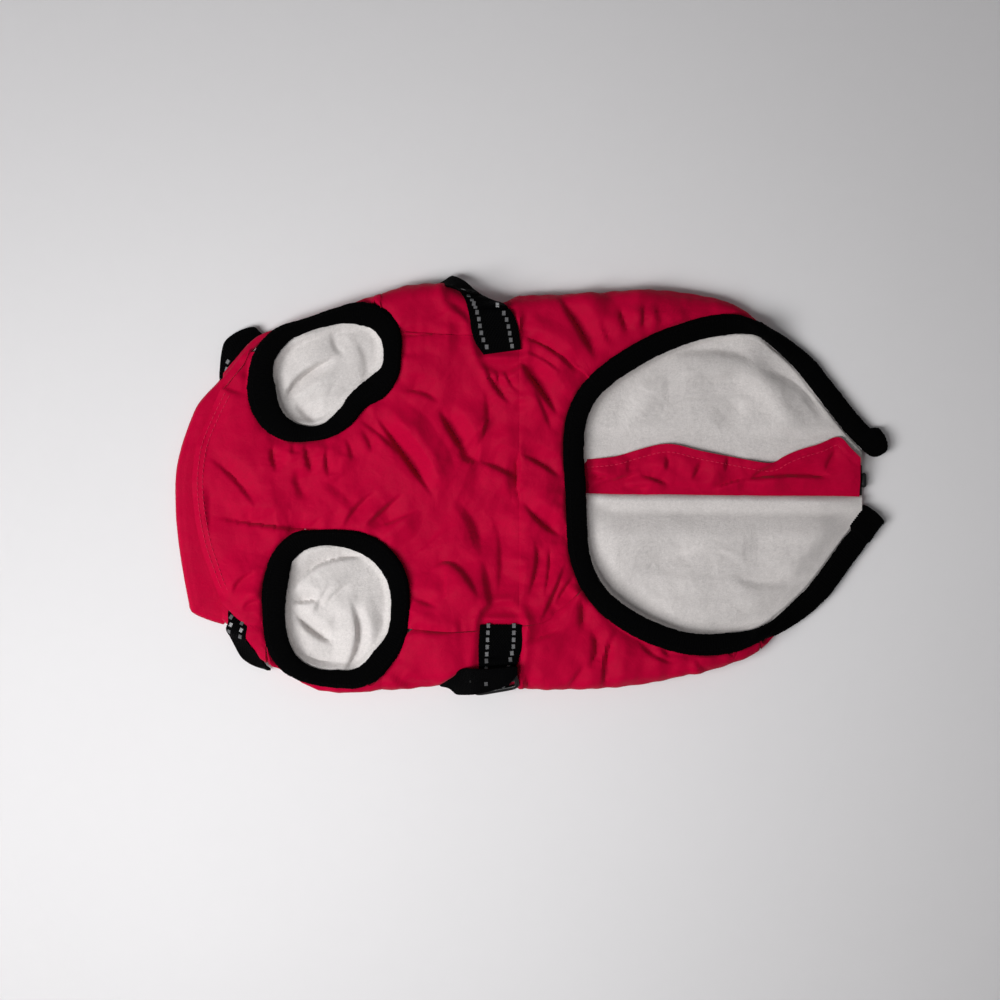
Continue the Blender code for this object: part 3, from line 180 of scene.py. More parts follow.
FLAP_FREE_EDGE = ((-184, 17), (-120, 17), (-60, 16.6), (0, 16.2), (24, 16), (34, 15.8), (44, 16.4), (53, 17.8), (65, 21.4), (78, 24.6), (88, 24.4),
                  (103, 20.6), (125, 16.4), (140, 13.6), (147, 13.8), (153, 17.4), (162, 21.2), (174, 24.8),
                  (186, 29.2), (193, 22.6), (199, 16.5))
# Webbing: the two edges of each strap side by side, edge to edge: x, y, z of one and of the other. Heights above
# 30 count from the belly side's own height, which is 30 there
LEFT_GIRTH = (
    (-56, 24, 0.85, -31, 24, 0.85), (-56, 63, 0.85, -31, 63, 0.85), (-56, 97.8, 0.85, -31, 100.2, 0.85),
    (-57, 111, 0.9, -36, 113.4, 0.9), (-58.8, 117.6, 3.4, -45.6, 122.4, 1.6),
    (-56.1, 120.2, 10, -47.4, 126.3, 5.5), (-49.8, 119.1, 16, -40.2, 123, 10),
    (-44.4, 117.3, 18.4, -33, 116.4, 13.4), (-41.1, 114, 31.2, -26.4, 112.2, 15.6),
    (-39.3, 110.4, 31.4, -18, 109.2, 17.4), (-37.8, 105, 31.2, -12.6, 105, 31),
    (-36.6, 99, 31.2, -9.3, 99.6, 31), (-35.7, 92.4, 31.2, -7.5, 93, 31), (-33.3, 85.2, 31, -6.6, 86.4, 31),
    (-28.5, 78.1, 30.6, -6.3, 81.1, 30.6),
)
RIGHT_GIRTH = (
    (-9.5, -24, 0.85, -34.5, -24, 0.85), (-9.5, -69, 0.85, -34.5, -69, 0.85),
    (-9.5, -105, 0.85, -34.5, -105, 0.85), (-10.2, -114.6, 0.9, -34.2, -115.8, 0.9),
    (-12.6, -121.2, 4, -32.7, -122.1, 4), (-14.4, -123, 9, -31.2, -123.9, 9),
    (-13.8, -122.1, 13.5, -30.6, -123.3, 13.5), (-13.2, -120, 17.6, -30.6, -121.5, 17.6),
    (-12.3, -117.3, 21, -30.6, -118.8, 21), (-11.4, -114, 21.6, -30.6, -115.5, 21.6),
    (-9.9, -110.4, 20.4, -31, -112.2, 20.4), (-8.4, -107.1, 31.6, -31.4, -108.6, 31.6),
    (-6.9, -102, 31.2, -31.5, -103.2, 31.2), (-5.4, -97.2, 31, -31.5, -97.8, 31),
    (-5.1, -91.8, 31, -31.2, -91.8, 31), (-5.1, -83.7, 30.6, -30.6, -83.7, 30.6),
)
LEFT_NECK = (
    (-157.8, 88.2, 2.6, -153.6, 79.8, 4), (-163.8, 92.4, 3.2, -161.4, 82.8, 5.5),
    (-167.7, 95.8, 4, -166.8, 82.8, 7), (-174.6, 94.3, 4, -171, 79.8, 7.6), (-180.9, 91, 4.2, -174, 76.8, 8),
    (-185.4, 86.7, 4.2, -175.2, 73.8, 8), (-187.2, 80.4, 4.2, -175.8, 70.8, 8),
    (-188.2, 72, 3.8, -177, 67.2, 7.6), (-188.4, 64.2, 3.2, -179.4, 63, 6.5),
    (-185.4, 58.2, 2.6, -179.4, 58.2, 5),
)
RIGHT_NECK = (
    (-182.4, -70.8, 9.4, -170.4, -77.6, 10.4), (-182.4, -77.4, 12.6, -170.4, -84, 13.2),
    (-182.2, -82.4, 13.2, -170.8, -88.4, 14), (-183.7, -86.7, 10.4, -171.2, -92.4, 14),
    (-181.6, -91.5, 6.6, -169.4, -95.6, 13.2), (-178.4, -98.4, 5, -166.6, -99.4, 11.8),
    (-175.2, -104, 4.4, -163.8, -103.2, 10), (-170.7, -107.6, 4, -161.4, -106.8, 8.4),
    (-166.2, -109.6, 3.8, -159.6, -109.6, 6.6), (-162, -110.8, 3.4, -158.4, -110.8, 5),
    (-159.6, -111.8, 3, -157.6, -111.8, 3.6),
)
LOOSE_END = (
    (-8.4, -108.2, 24.6, -8, -112.8, 23.4), (-13.8, -108.4, 26, -12.4, -118, 22),
    (-20.5, -109.2, 26.2, -18.6, -121.6, 19.8), (-28, -109.8, 25.8, -26.4, -124, 18),
    (-35.4, -109.6, 24.8, -34, -125.6, 16.6), (-41.4, -110, 21.6, -40, -126.2, 12.5),
    (-46.8, -113.6, 18, -45, -126, 9), (-51.6, -117, 15.4, -49.2, -122.4, 9.8),
    (-55.5, -119.2, 13, -54.3, -120.9, 10.6),
)
# Where the cloth stands up beyond the sewn end of each girth strap
STRAP_END_SWELLS = ((-17, 76.2, 14, 2.6, 2.6), (-18, -80.2, 14, 2.4, 2.4))


# Creases of the belly side: start, middle and end in plan, then the trough's width and depth, and the height
# of the cloth pushed up on its left, which is steep, and on its right, which is gentle
Crease = namedtuple("Crease", "x0 y0 xm ym x1 y1 width depth puff back")
BELLY_SIDE_CREASES = (
    (-58, -7, -76, 18, -95, 45, 2.4, 3, 1, 3), (-79, 18, -89, 29, -104, 40, 1.8, 1.6, 0.6, 1.2),
    (-38, 18, -47, 32, -55, 46, 2.6, 2.8, 1.6, 1.6), (-55, 49, -65, 56, -79, 57, 2.4, 1.2, 0.8, 0.8),
    (-31, 15, -37, 17, -43, 21, 4, 2.4, 1, 1), (-7, 4, -19, 11, -32, 15, 2.8, 2, 1.2, 1.2),
    (-29, -43, -34, -22, -46, -9, 6, 2, 1, 1), (-22, -76, -25, -60, -28, -45, 4.5, 2.2, 1.2, 0.8),
    (-112, -25, -104, -13, -93, -4, 2.2, 1.8, 0.8, 1.4), (-100, -26, -90, -17, -77, -5, 2.4, 2.2, 0.8, 1.6),
    (-67, -14, -82, -21, -95, -25, 1.6, 0.9, 0.5, 0.8), (-116, -28, -161, -23, -194, -18, 2, 1.6, 0.8, 0.8),
    (-164, -14, -179, 5, -194, 17, 2, 1.5, 0.8, 0.8), (-152, 8, -155, 17, -154, 25, 2, 1.6, 1, 1),
    (-131, 7, -134, 17, -135, 26, 2, 1.6, 1, 1), (-121, 4, -123, 15, -122, 23, 1.9, 1.4, 0.9, 0.9),
    (-143, 17, -143, 22, -143, 26, 1.6, 0.8, 0.6, 0.6), (-107, 14, -109, 23, -112, 29, 1.7, 1, 0.7, 0.7),
    (-95, 19, -98, 27, -102, 34, 1.6, 0.8, 0.6, 0.6), (-135, -9, -140, 2, -140, 11, 4, 1.8, 0.6, 0.6),
    (-193, -29, -194, -15, -194, -2, 3.5, 1.3, 0.6, 0.4), (-173, 55, -182, 58, -188, 60, 1.7, 1, 0.6, 0.6),
    (-179, -67, -175, -58, -165, -52, 1.8, 1.2, 0.9, 0.8),
    (-173, -76, -169, -71, -161, -69, 1.6, 1, 0.7, 0.7), (-56, -73, -67, -69, -74, -67, 1.8, 1, 0.7, 0.7),
    (-30, -69, -46, -47, -62, -52, 2.2, 1.2, 1.6, 0.4), (-11, 49, -23, 63, -26, 75, 2, 1.6, 1, 1),
    (-7, 56, -14, 65, -16, 77, 1.8, 1.5, 0.9, 0.9), (-19, 58, -20, 68, -21, 76, 1.5, 1, 0.6, 0.6),
    (-32, 22, -26, 39, -28, 58, 2.4, 1, 0.5, 0.7), (-20, -70, -18, -40, -23, -19, 2.5, 0.8, 0.4, 1.2),
    (-107, -17, -112, -6, -128, 4, 5, 1.2, 0.6, 0.6), (17, 42, 4, 61, -7, 76, 2.6, 3, 1.8, 1.4),
    (-7, 21, -8.4, 6, -7, -10, 1.3, 1.9, 0.4, 0.4),
    (28, 68, 8, 84, -7, 89, 1.6, 1.2, 0.8, 0.8), (19, 67, 7, 76, -5, 81, 1.4, 0.9, 0.6, 0.6),
    (18, 5, 5, 14, -6, 19, 2.2, 2.2, 1, 1.2), (19, -31, 5, -21, -4, -10, 2.2, 2.2, 1, 1.2),
    (-1, -67, 4, -46, 2, -33, 2.2, 1.5, 0.8, 0.8), (8, -67, 11, -51, 11, -36, 1.8, 1.2, 0.7, 0.7),
    (6, -82, 14, -66, 21, -47, 2.2, 1.8, 1, 1), (15, -72, 20, -63, 26, -55, 1.6, 1.2, 0.7, 0.7),
    (13, 32, 8, 45, 2, 58, 1.6, 0.9, 0.6, 0.6), (40, 75, 27, 98, 16, 114, 2.6, 3, 1.6, 1.4),
    (-6, 88, -5, 96, -4, 104, 1.8, 1.3, 0.8, 0.8), (58, 91, 55, 99, 53, 107, 1.8, 1.4, 0.8, 0.8),
    (67, 93, 67, 101, 67, 109, 1.7, 1.2, 0.7, 0.7), (77, 95, 76, 102, 74, 109, 1.6, 1, 0.6, 0.6),
    (49, 83, 45, 91, 41, 101, 1.6, 0.9, 0.6, 0.6), (31, -88, 31, -76, 28, -67, 2, 1.8, 0.8, 1),
    (35, -110, 39, -99, 37, -86, 2, 1.8, 1, 1), (44, -124, 46, -102, 52, -86, 2.2, 2, 1, 1),
    (19, -87, 6, -91, -4, -97, 1.8, 1.2, 0.8, 0.8), (22, -121, 28, -114, 32, -107, 1.6, 1, 0.6, 0.6),
    (86, -107, 71, -100, 65, -91, 1.8, 1.3, 0.8, 0.8), (84, -104, 80, -99, 77, -95, 1.6, 1, 0.6, 0.6),
    (109, -112, 101, -107, 97, -101, 1.6, 0.9, 0.6, 0.6), (-38, 97, -40, 108, -46, 115, 2.6, 1.8, 1.2, 0.8),
    (-55, -119, -46, -115, -37, -110, 2.2, 1.4, 0.8, 0.8), (-1, -122, -4, -115, -7, -110, 1.8, 1.2, 0.8, 0.8),
    (-52, 91, -64, 91, -79, 89, 1.2, 0.8, 0.3, 0.3), (-44, -88, -59, -88, -73, -85, 1.2, 0.9, 0.3, 0.3),
    (-68, -122, -77, -118, -86, -112, 1.7, 0.9, 0.6, 0.6),
)
LEG_CREASES = (
    (-148, 52, -139, 65, -119, 76, 1.7, 3.4, 1.8, 1.2), (-128, 38, -136, 43, -142, 51, 3, 1.4, 0.4, 0.4),
    (-112, 78, -118, 84, -119, 93, 2.4, 0.9, 0.4, 0.4), (-101, 58, -99, 76, -107, 90, 4, 1, 0.3, 0.4),
    (-98, -43, -126, -47, -143, -63, 1.6, 2.4, 1.4, 1.3), (-126, -69, -136, -70, -145, -71, 1.7, 2.6, 1, 0.9),
    (-118, -95, -131, -89, -143, -77, 1.7, 3.2, 1.2, 1.3), (-113, -113, -104, -93, -108, -70, 1.6, 2.6, 1.4, 1.4),
    (-124, -74, -118, -66, -108, -59, 1.8, 1, 0.7, 0.6), (-130, -78, -126, -68, -120, -60, 1.6, 0.8, 0.5, 0.5),
)
FLEECE_CREASES = (
    (128, 52, 122, 44, 113, 35, 5, 1.6, 0.5, 0.4), (134, 74, 114, 82, 78, 79, 2.2, 1.7, 1.2, 1.0),
    (82, 52, 83, 59, 82, 67, 2.2, 0.6, 0.4, 0.4), (177, 37, 163, 60, 136, 71, 2.6, 1.3, 1.0, 0.8),
    (104, -37, 82, -45, 63, -50, 4, 2.2, 1.1, 0.6), (133, -54, 138, -41, 134, -26, 5, 1.2, 0.8, 0.5),
    (166, -55, 139, -59, 122, -53, 2.2, 1.8, 1.0, 0.8),
    (145, -81, 119, -86, 95, -86, 3.5, 1.6, 0.8, 0.3),
)

# Soft swellings: x, y, reach along x, reach along y, rise
BELLY_SIDE_SWELLS = (
    (-46, 84, 16, 14, 1.6), (-58, 4, 9, 9, 1.4), (-55, -96, 20, 16, 1.8), (-175, 27, 12, 22, 1.0),
    (-175, -45, 14, 16, 1.2), (17, 90, 12, 12, 1.2), (8, -102, 18, 10, 1.2), (65, 102, 30, 6, 1.0),
    (-40, -63, 10, 12, 1.2), (-76, 36, 9, 9, 1.0), (-1, 33, 9, 12, 1.0), (8, -9, 8, 9, 1.0),
)
FLEECE_SWELLS = (
    (-128, 81, 16, 14, 2.6), (-121, 56, 14, 12, 2.2), (-103, 84, 10, 14, 1.4), (-127, -63, 16, 12, 2.2),
    (-112, -80, 14, 22, 2.4), (-133, -102, 14, 10, 2.0), (-97, -84, 8, 22, 1.6), (56, 39, 26, 22, 1.4),
    (101, 51, 22, 16, 1.2), (155, 34, 18, 14, 2.4), (181, 31, 6, 5, 1.2), (55, -35, 22, 16, 1.5),
    (104, -66, 32, 20, 1.8), (113, -46, 18, 12, 1.0), (175, -27, 16, 14, 2.2), (152, -42, 14, 10, 1.2),
)
# Creases pressed into the back where it lies: the same columns, with no height beside them
BACK_CREASES = (
    (-150, 30, -120, 44, -92, 74, 5, 1.6, 0, 0), (-96, 18, -60, 30, -18, 26, 6, 1.3, 0, 0),
    (-12, 52, 22, 40, 58, 46, 6, 1.5, 0, 0), (70, 20, 96, 34, 132, 30, 5, 1.2, 0, 0),
    (-60, 78, -30, 66, 6, 76, 5, 1.4, 0, 0), (100, 60, 128, 52, 150, 56, 5, 1.1, 0, 0),
    (-154, -26, -124, -46, -98, -40, 5, 1.5, 0, 0), (-84, -62, -50, -54, -20, -70, 6, 1.6, 0, 0),
    (-40, -20, -6, -32, 30, -24, 6, 1.2, 0, 0), (36, -58, 66, -44, 104, -52, 5, 1.5, 0, 0),
    (112, -22, 140, -30, 160, -26, 5, 1.2, 0, 0), (-120, -88, -92, -76, -60, -92, 5, 1.3, 0, 0),
    (40, -92, 70, -84, 96, -90, 5, 1.2, 0, 0), (30, 88, 62, 80, 92, 86, 5, 1.3, 0, 0),
)
# Creases that cross the side rolls: x where they cross, lean along the roll, width, depth
LEFT_ROLL_CREASES = (
    (-92, 5, 3, 1.6), (-80, -4, 2.6, 1.2), (-68, 6, 3, 1.8), (-58, 3, 2.4, 1.2), (-33, -5, 2.6, 1.4),
    (-14, 6, 3, 2.0), (-5, 2, 2.2, 1.6), (6, -4, 2.4, 1.0), (17, 5, 3, 1.8), (29, 3, 2.4, 1.2), (43, -5, 3, 1.4),
    (55, 4, 2.6, 1.6), (67, 3, 2.4, 1.4), (76, -4, 2.6, 1.2), (90, 5, 3, 1.2), (104, -3, 2.6, 1.2),
    (116, 4, 2.4, 1.0), (-150, 4, 2.6, 0.8), (-128, -4, 2.6, 0.8),
)
RIGHT_ROLL_CREASES = (
    (-90, 6, 3, 1.4), (-78, -5, 2.6, 1.6), (-66, 4, 2.4, 1.2), (-54, 5, 3, 1.4), (-6, 4, 2.6, 1.8),
    (4, -5, 2.4, 1.0), (14, 5, 2.6, 1.4), (24, 4, 2.4, 1.6), (36, -4, 3, 1.4), (46, 4, 2.6, 1.8),
    (60, 5, 2.6, 1.2), (74, -4, 2.4, 1.2), (86, 5, 3, 1.6), (98, 3, 2.4, 1.2), (110, -4, 2.6, 1.2),
    (122, 4, 2.4, 1.0), (-146, -4, 2.6, 0.8), (-122, 4, 2.6, 0.8),
)
# Soft creases of the wind flap
FLAP_CREASES = (
    (36, -4, 47, 1, 67, 7, 2.2, 1.5, 0.9, 0.6), (84, 0, 75, 4, 66, 6, 1.8, 1.2, 0.8, 0.4),
    (34, 8, 42, 5, 52, 4, 1.8, 1.1, 0.7, 0.4), (56, 0, 64, -2, 72, 0, 1.8, 1.0, 0.6, 0.4),
    (82, 8, 82.5, 13, 82, 19, 1.8, 0.9, 0.4, 0.3), (118, 8, 118.5, 13, 119.5, 18, 1.8, 0.8, 0.4, 0.3),
    (181, 4.6, 153, 6.4, 128, 3, 1.5, 2.2, 1.2, 0.5), (130, 4.3, 120, 2, 110, -2, 1.8, 1.2, 0.6, 0.4),
    (133, 4, 141, 8.5, 150, 11.6, 1.8, 0.7, 0.6, 0.3), (178, 8, 181, 14, 185, 22, 2, 0.8, 0.5, 0.3),
    (58, 8, 60, 12, 61, 17, 1.8, 0.6, 0.4, 0.3), (98, 2, 101, 8, 104, 15, 2, 0.8, 0.5, 0.3),
)

NOISE = np.random.default_rng(11).random((64, 64)) * 2 - 1


def smooth(t):
    """0 below 0, 1 above 1, and an even S between."""
    t = np.clip(t, 0.0, 1.0)
    return t * t * (3.0 - 2.0 * t)


def unit(vectors):
    return vectors / np.maximum(np.linalg.norm(vectors, axis=-1, keepdims=True), 1e-9)


def noise(x, y, size, seed=0):
    """Even random heights between -1 and 1: four seeded corner values of a square grid, blended by S curves."""
    u, v = x / size + 13.7 * seed, y / size + 7.3 * seed
    i, j = np.floor(u).astype(int), np.floor(v).astype(int)
    a, b = smooth(u - i), smooth(v - j)
    low = NOISE[i % 64, j % 64] * (1 - a) + NOISE[(i + 1) % 64, j % 64] * a
    high = NOISE[i % 64, (j + 1) % 64] * (1 - a) + NOISE[(i + 1) % 64, (j + 1) % 64] * a
    return low * (1 - b) + high * b


def facets(x, y, size, seed=0):
    """Flat little planes that meet in crisp edges: random heights at the corners of a bent triangle grid,
    joined by straight lines across each triangle."""
    u = (0.8 * x + 0.6 * y) / size + 0.55 * noise(x, y, 1.7 * size, seed + 1) + 5.1 * seed
    v = (0.8 * y - 0.6 * x) / size + 0.55 * noise(x, y, 1.7 * size, seed + 2) + 3.3 * seed
    i, j = np.floor(u).astype(int), np.floor(v).astype(int)
    a, b = u - i, v - j
    corner, far = NOISE[i % 64, j % 64], NOISE[(i + 1) % 64, (j + 1) % 64]
    right, up = NOISE[(i + 1) % 64, j % 64], NOISE[i % 64, (j + 1) % 64]
    below = corner + a * (right - corner) + b * (far - right)
    return np.where(a > b, below, corner + b * (up - corner) + a * (far - up))


def rounded_path(points, step, closed=False):
    """Points about a step apart on the Catmull-Rom curve through the given rows."""
    points = np.asarray(points, dtype=float)
    if closed:
        padded = np.vstack([points[-1], points, points[0], points[1]])
    else:
        padded = np.vstack([2 * points[0] - points[1], points, 2 * points[-1] - points[-2]])
    t = np.linspace(0.0, 1.0, 16, endpoint=False)[None, :, None]
    a, b, c, d = (padded[k : len(padded) - 3 + k, None, :] for k in range(4))
    curve = 2 * b + (c - a) * t + (2 * a - 5 * b + 4 * c - d) * t**2 + (3 * b - a - 3 * c + d) * t**3
    dense = np.vstack([(0.5 * curve).reshape(-1, points.shape[1]), padded[-2]])
    gone = np.concatenate([[0.0], np.cumsum(np.linalg.norm(np.diff(dense[:, :3], axis=0), axis=1))])
    at = np.linspace(0.0, gone[-1], max(2, int(round(gone[-1] / step))) + 1)
    path = np.column_stack([np.interp(at, gone, dense[:, k]) for k in range(dense.shape[1])])
    return path[:-1] if closed else path


def tangents(path, closed=False):
    if closed:
        return unit(np.roll(path, -1, axis=0) - np.roll(path, 1, axis=0))
    return unit(np.gradient(path, axis=0))


def lengths(path):
    """Distance along the path to each of its points."""
    return np.concatenate([[0.0], np.cumsum(np.linalg.norm(np.diff(path, axis=0), axis=1))])


def beside(x, y, path, reach=30.0):
    """How far each point stands to the left of the path (signed), and how far along the path that is, from
    its nearest stretch. Points beyond reach keep a distance of reach."""
    shape = np.shape(x)
    spots = np.column_stack([np.ravel(x), np.ravel(y)])
    path = np.asarray(path, dtype=float)[:, :2]
    off, along = np.full(len(spots), reach), np.zeros(len(spots))
    near = np.all((spots > path.min(axis=0) - reach) & (spots < path.max(axis=0) + reach), axis=1)
    run = np.diff(path, axis=0)
    size = np.maximum(np.linalg.norm(run, axis=1), 1e-9)
    start = lengths(path)[:-1]
    picked = np.flatnonzero(near)
    for part in np.array_split(picked, max(1, len(picked) // 4000)):
        to = spots[part, None, :] - path[None, :-1, :]
        t = np.clip((to * run).sum(axis=2) / size**2, 0.0, 1.0)
        away = to - t[..., None] * run
        far = np.linalg.norm(away, axis=2)
        k = far.argmin(axis=1)
        rows = np.arange(len(part))
        side = run[k, 0] * away[rows, k, 1] - run[k, 1] * away[rows, k, 0]
        off[part] = np.minimum(far[rows, k], reach) * np.where(side < 0, -1.0, 1.0)
        along[part] = start[k] + t[rows, k] * size[k]
    return off.reshape(shape), along.reshape(shape)


def creased(x, y, rows, soft=1.0):
    """Sum of the creases. The cloth drops by depth at each bowed line. It climbs from there to puff within two
    widths on the left and to back within five widths on the right, and then runs down again in straight
    slopes. A crease is full in its middle, and flattens evenly towards both ends. Soft above 1 rounds the drop."""
    total = np.zeros(np.shape(x))
    for row in rows:
        row = Crease(*row)
        t = np.linspace(0.0, 1.0, 13)[:, None]
        ends = np.array([[row.x0, row.y0], [row.x1, row.y1]], dtype=float)
        bow = 2 * np.array([row.xm, row.ym]) - ends.mean(axis=0)
        path = ends[0] * (1 - t) ** 2 + 2 * bow * t * (1 - t) + ends[1] * t**2
        s, along = beside(x, y, path, 10 * row.width)
        part = along / lengths(path)[-1]
        fade = np.clip(part / 0.3, 0, 1) * np.clip((1 - part) / 0.35, 0, 1)
        wide = row.width * (0.75 + 0.25 * fade)
        left = np.interp(s / wide, (0, 0.85 * soft, 1.5 * soft, 2.6 * soft, 9.0), (-row.depth, 0.6 * row.puff, row.puff, row.puff, 0))
        right = np.interp(-s / wide, (0, 1.4, 4.6, 6.0, 10.0), (-row.depth, -0.5 * row.depth, row.back, row.back, 0))
        total = total + fade * np.where(s > 0, left, right)
    return total


def swollen(x, y, rows):
    """Sum of the soft swellings, rise exp(-((x / reach)^2 + (y / reach)^2))."""
    x, y = np.asarray(x)[..., None], np.asarray(y)[..., None]
    sx, sy, wide, long, rise = np.array(rows, dtype=float).T
    return (rise * np.exp(-(((x - sx) / wide) ** 2) - ((y - sy) / long) ** 2)).sum(axis=-1)


def puckered(x, y, path, depth, width, gather, fade, pitch, seed):
    """A sewn seam: a valley depth deep and width wide, with little gathers across it that die out in fade."""
    off, along = beside(x, y, path, 4 * fade)
    off = np.abs(off)
    waves = noise(along, off * 0.25, pitch, seed) + 0.6 * noise(along, off * 0.2, pitch * 0.55, seed + 3)
    return -depth * np.exp(-((off / width) ** 1.6)) + gather * waves * np.exp(-((off / fade) ** 1.3))


def piece(name, points, faces, finish, slot, nodes=()):
    """A mesh object from points in table millimetres and faces given as rows of corner numbers, each with its
    corners' cloth coordinates. A closed mesh that is inside out is turned round."""
    points = (np.asarray(points) + PLAN_SHIFT) * MM
    volume = 0.0
    for corners, _ in faces:
        for k in range(1, corners.shape[1] - 1):
            a, b, c = (points[corners[:, n]] for n in (0, k, k + 1))
            volume += np.einsum("ij,ij->", a, np.cross(b, c))
    if volume < 0:
        faces = [(corners[:, ::-1], cloth[:, ::-1]) for corners, cloth in faces]
    mesh = bpy.data.meshes.new(name)
    mesh.vertices.add(len(points))
    mesh.vertices.foreach_set("co", points.ravel())
    corner = np.concatenate([corners.ravel() for corners, _ in faces])
    size = np.concatenate([np.full(len(corners), corners.shape[1]) for corners, _ in faces])
    mesh.loops.add(len(corner))
    mesh.loops.foreach_set("vertex_index", corner)
    mesh.polygons.add(len(size))
    mesh.polygons.foreach_set("loop_start", np.concatenate([[0], np.cumsum(size)[:-1]]))
    mesh.uv_layers.new(name="cloth")
    mesh.uv_layers["cloth"].data.foreach_set("uv", np.concatenate([c.reshape(-1, 2) for _, c in faces]).ravel())
    mesh.update(calc_edges=True)
    if mesh.validate():
        raise RuntimeError(name + " has faces that are not sound")
    mesh.shade_smooth()
    mesh.set_sharp_from_angle(angle=math.radians(50))
    made = bpy.data.objects.new(name, mesh)
    bpy.context.scene.collection.objects.link(made)
    mesh.materials.append(finish)
    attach(made, "root")
    if nodes:
        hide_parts(*nodes)
    return made


def grid_faces(rows, columns, along, across, close_rows=False, close_columns=False, start=0):
    """Quads of a grid of points, whose cloth coordinates are along[row] and across[column]."""
    i, j = np.meshgrid(np.arange(rows - (not close_rows)), np.arange(columns - (not close_columns)), indexing="ij")
    i = np.stack([i, i + 1, i + 1, i], axis=-1).reshape(-1, 4)
    j = np.stack([j, j, j + 1, j + 1], axis=-1).reshape(-1, 4)
    cloth = np.stack([np.asarray(along)[i], np.asarray(across)[j]], axis=-1)
    return start + (i % rows) * columns + j % columns, cloth


def folded_sheet(outer, inner):
    """Points and faces of a cloth with two sides, each a grid of points, closed along all its edges."""
    rows, columns = outer.shape[:2]
    points = np.concatenate([outer, inner[:, ::-1]], axis=1)
    along = lengths(outer[:, columns // 2])
    across = lengths(outer[rows // 2])
    across = np.concatenate([across, across[::-1], across[:1]])
    faces = [grid_faces(rows, 2 * columns, along, across, close_columns=True)]
    for row in (0, rows - 1):
        j = np.arange(columns - 1)
        corners = np.stack([j, j + 1, 2 * columns - 2 - j, 2 * columns - 1 - j], axis=1)
        cloth = np.stack([np.full(corners.shape, along[row]), across[corners]], axis=-1)
        if row:
            corners, cloth = corners[:, ::-1], cloth[:, ::-1]
        faces.append((row * 2 * columns + corners, cloth))
    return points.reshape(-1, 3), faces


def tube(rings, closed=False):
    """Points and faces of rings of points joined in order, with a point at each end of an open run."""
    count, around = rings.shape[:2]
    along = lengths(rings[:, 0])
    if closed:
        along = np.append(along, along[-1] + np.linalg.norm(rings[0, 0] - rings[-1, 0]))
    across = lengths(np.vstack([rings[count // 2], rings[count // 2, :1]]))
    faces = [grid_faces(count, around, along, across, close_rows=closed, close_columns=True)]
    points = rings.reshape(-1, 3)
    if not closed:
        j = np.arange(around)
        for row, flip in ((0, True), (count - 1, False)):
            tip = np.full(around, len(points))
            points = np.vstack([points, rings[row].mean(axis=0)])
            corners = np.stack([tip, row * around + j, row * around + (j + 1) % around], axis=1)
            cloth = np.stack([np.full((around, 3), along[row]), across[np.stack([j, j, j + 1], axis=1)]], axis=-1)
            if flip:
                corners, cloth = corners[:, ::-1], cloth[:, ::-1]
            faces.append((corners, cloth))
    return points, faces


def together(parts):
    """Points and faces of several parts as one."""
    points, faces, count = [], [], 0
    for part_points, part_faces in parts:
        points.append(part_points)
        faces += [(corners + count, cloth) for corners, cloth in part_faces]
        count += len(part_points)
    return np.vstack(points), faces


def oval(count, squareness=0.75):
    """Points round a rounded rectangle that reaches 1 each way."""
    angle = np.arange(count) * 2 * np.pi / count
    wide = np.sign(np.cos(angle)) * np.abs(np.cos(angle)) ** squareness
    high = np.sign(np.sin(angle)) * np.abs(np.sin(angle)) ** squareness
    return wide, high


def swept(path, out, up, half_wide, half_high, around=16, squareness=0.75):
    """Rings of points: an oval section carried along the path, its width along out and its height along up."""
    wide, high = oval(around, squareness)
    half_wide = np.broadcast_to(half_wide, len(path))[:, None, None]
    half_high = np.broadcast_to(half_high, len(path))[:, None, None]
    return (path[:, None, :] + out[:, None, :] * wide[None, :, None] * half_wide
            + up[:, None, :] * high[None, :, None] * half_high)


def scattered(shape, spots, along, across, up):
    """Copies of a small shape: its x lies along, its y across and its z up at each spot."""
    points, faces = shape
    turned = (points[None, :, 0, None] * along[:, None, :] + points[None, :, 1, None] * across[:, None, :]
              + points[None, :, 2, None] * up[:, None, :] + spots[:, None, :])
    count = len(points)
    step = (np.arange(len(spots)) * count)[:, None, None]
    many = [((corners[None] + step).reshape(-1, corners.shape[1]),
             np.tile(cloth, (len(spots), 1, 1))) for corners, cloth in faces]
    return turned.reshape(-1, 3), many


def stitch_shape(length, thick):
    """One stitch: a round thread that dips into the cloth at both ends, z = thick (1 - (2x / length)^4)."""
    at = np.array([-0.5, -0.4, -0.15, 0.15, 0.4, 0.5])
    path = np.column_stack([at * length, 0 * at, thick * (0.5 - 14 * at**4)])
    out, up = np.tile([0.0, 1.0, 0.0], (6, 1)), np.tile([0.0, 0.0, 1.0], (6, 1))
    half = thick * np.array([0.35, 0.85, 1.0, 1.0, 0.85, 0.35])
    return tube(swept(path, out, up, half, half, 6, 1.0))


def stitch_line(path, up, length=2.6, gap=0.9, thick=0.32):
    """A row of stitches along a path in space."""
    gone = lengths(path)
    at = np.arange(0.7 * length, gone[-1] - 0.5 * length, length + gap)
    spots = np.column_stack([np.interp(at, gone, path[:, k]) for k in range(3)])
    ahead = np.column_stack([np.interp(at + 0.8, gone, path[:, k]) for k in range(3)])
    behind = np.column_stack([np.interp(at - 0.8, gone, path[:, k]) for k in range(3)])
    face = unit(np.column_stack([np.interp(at, gone, up[:, k]) for k in range(3)]))
    along = unit(ahead - behind)
    across = unit(np.cross(face, along))
    return scattered(stitch_shape(length, thick), spots, along, across, np.cross(along, across))


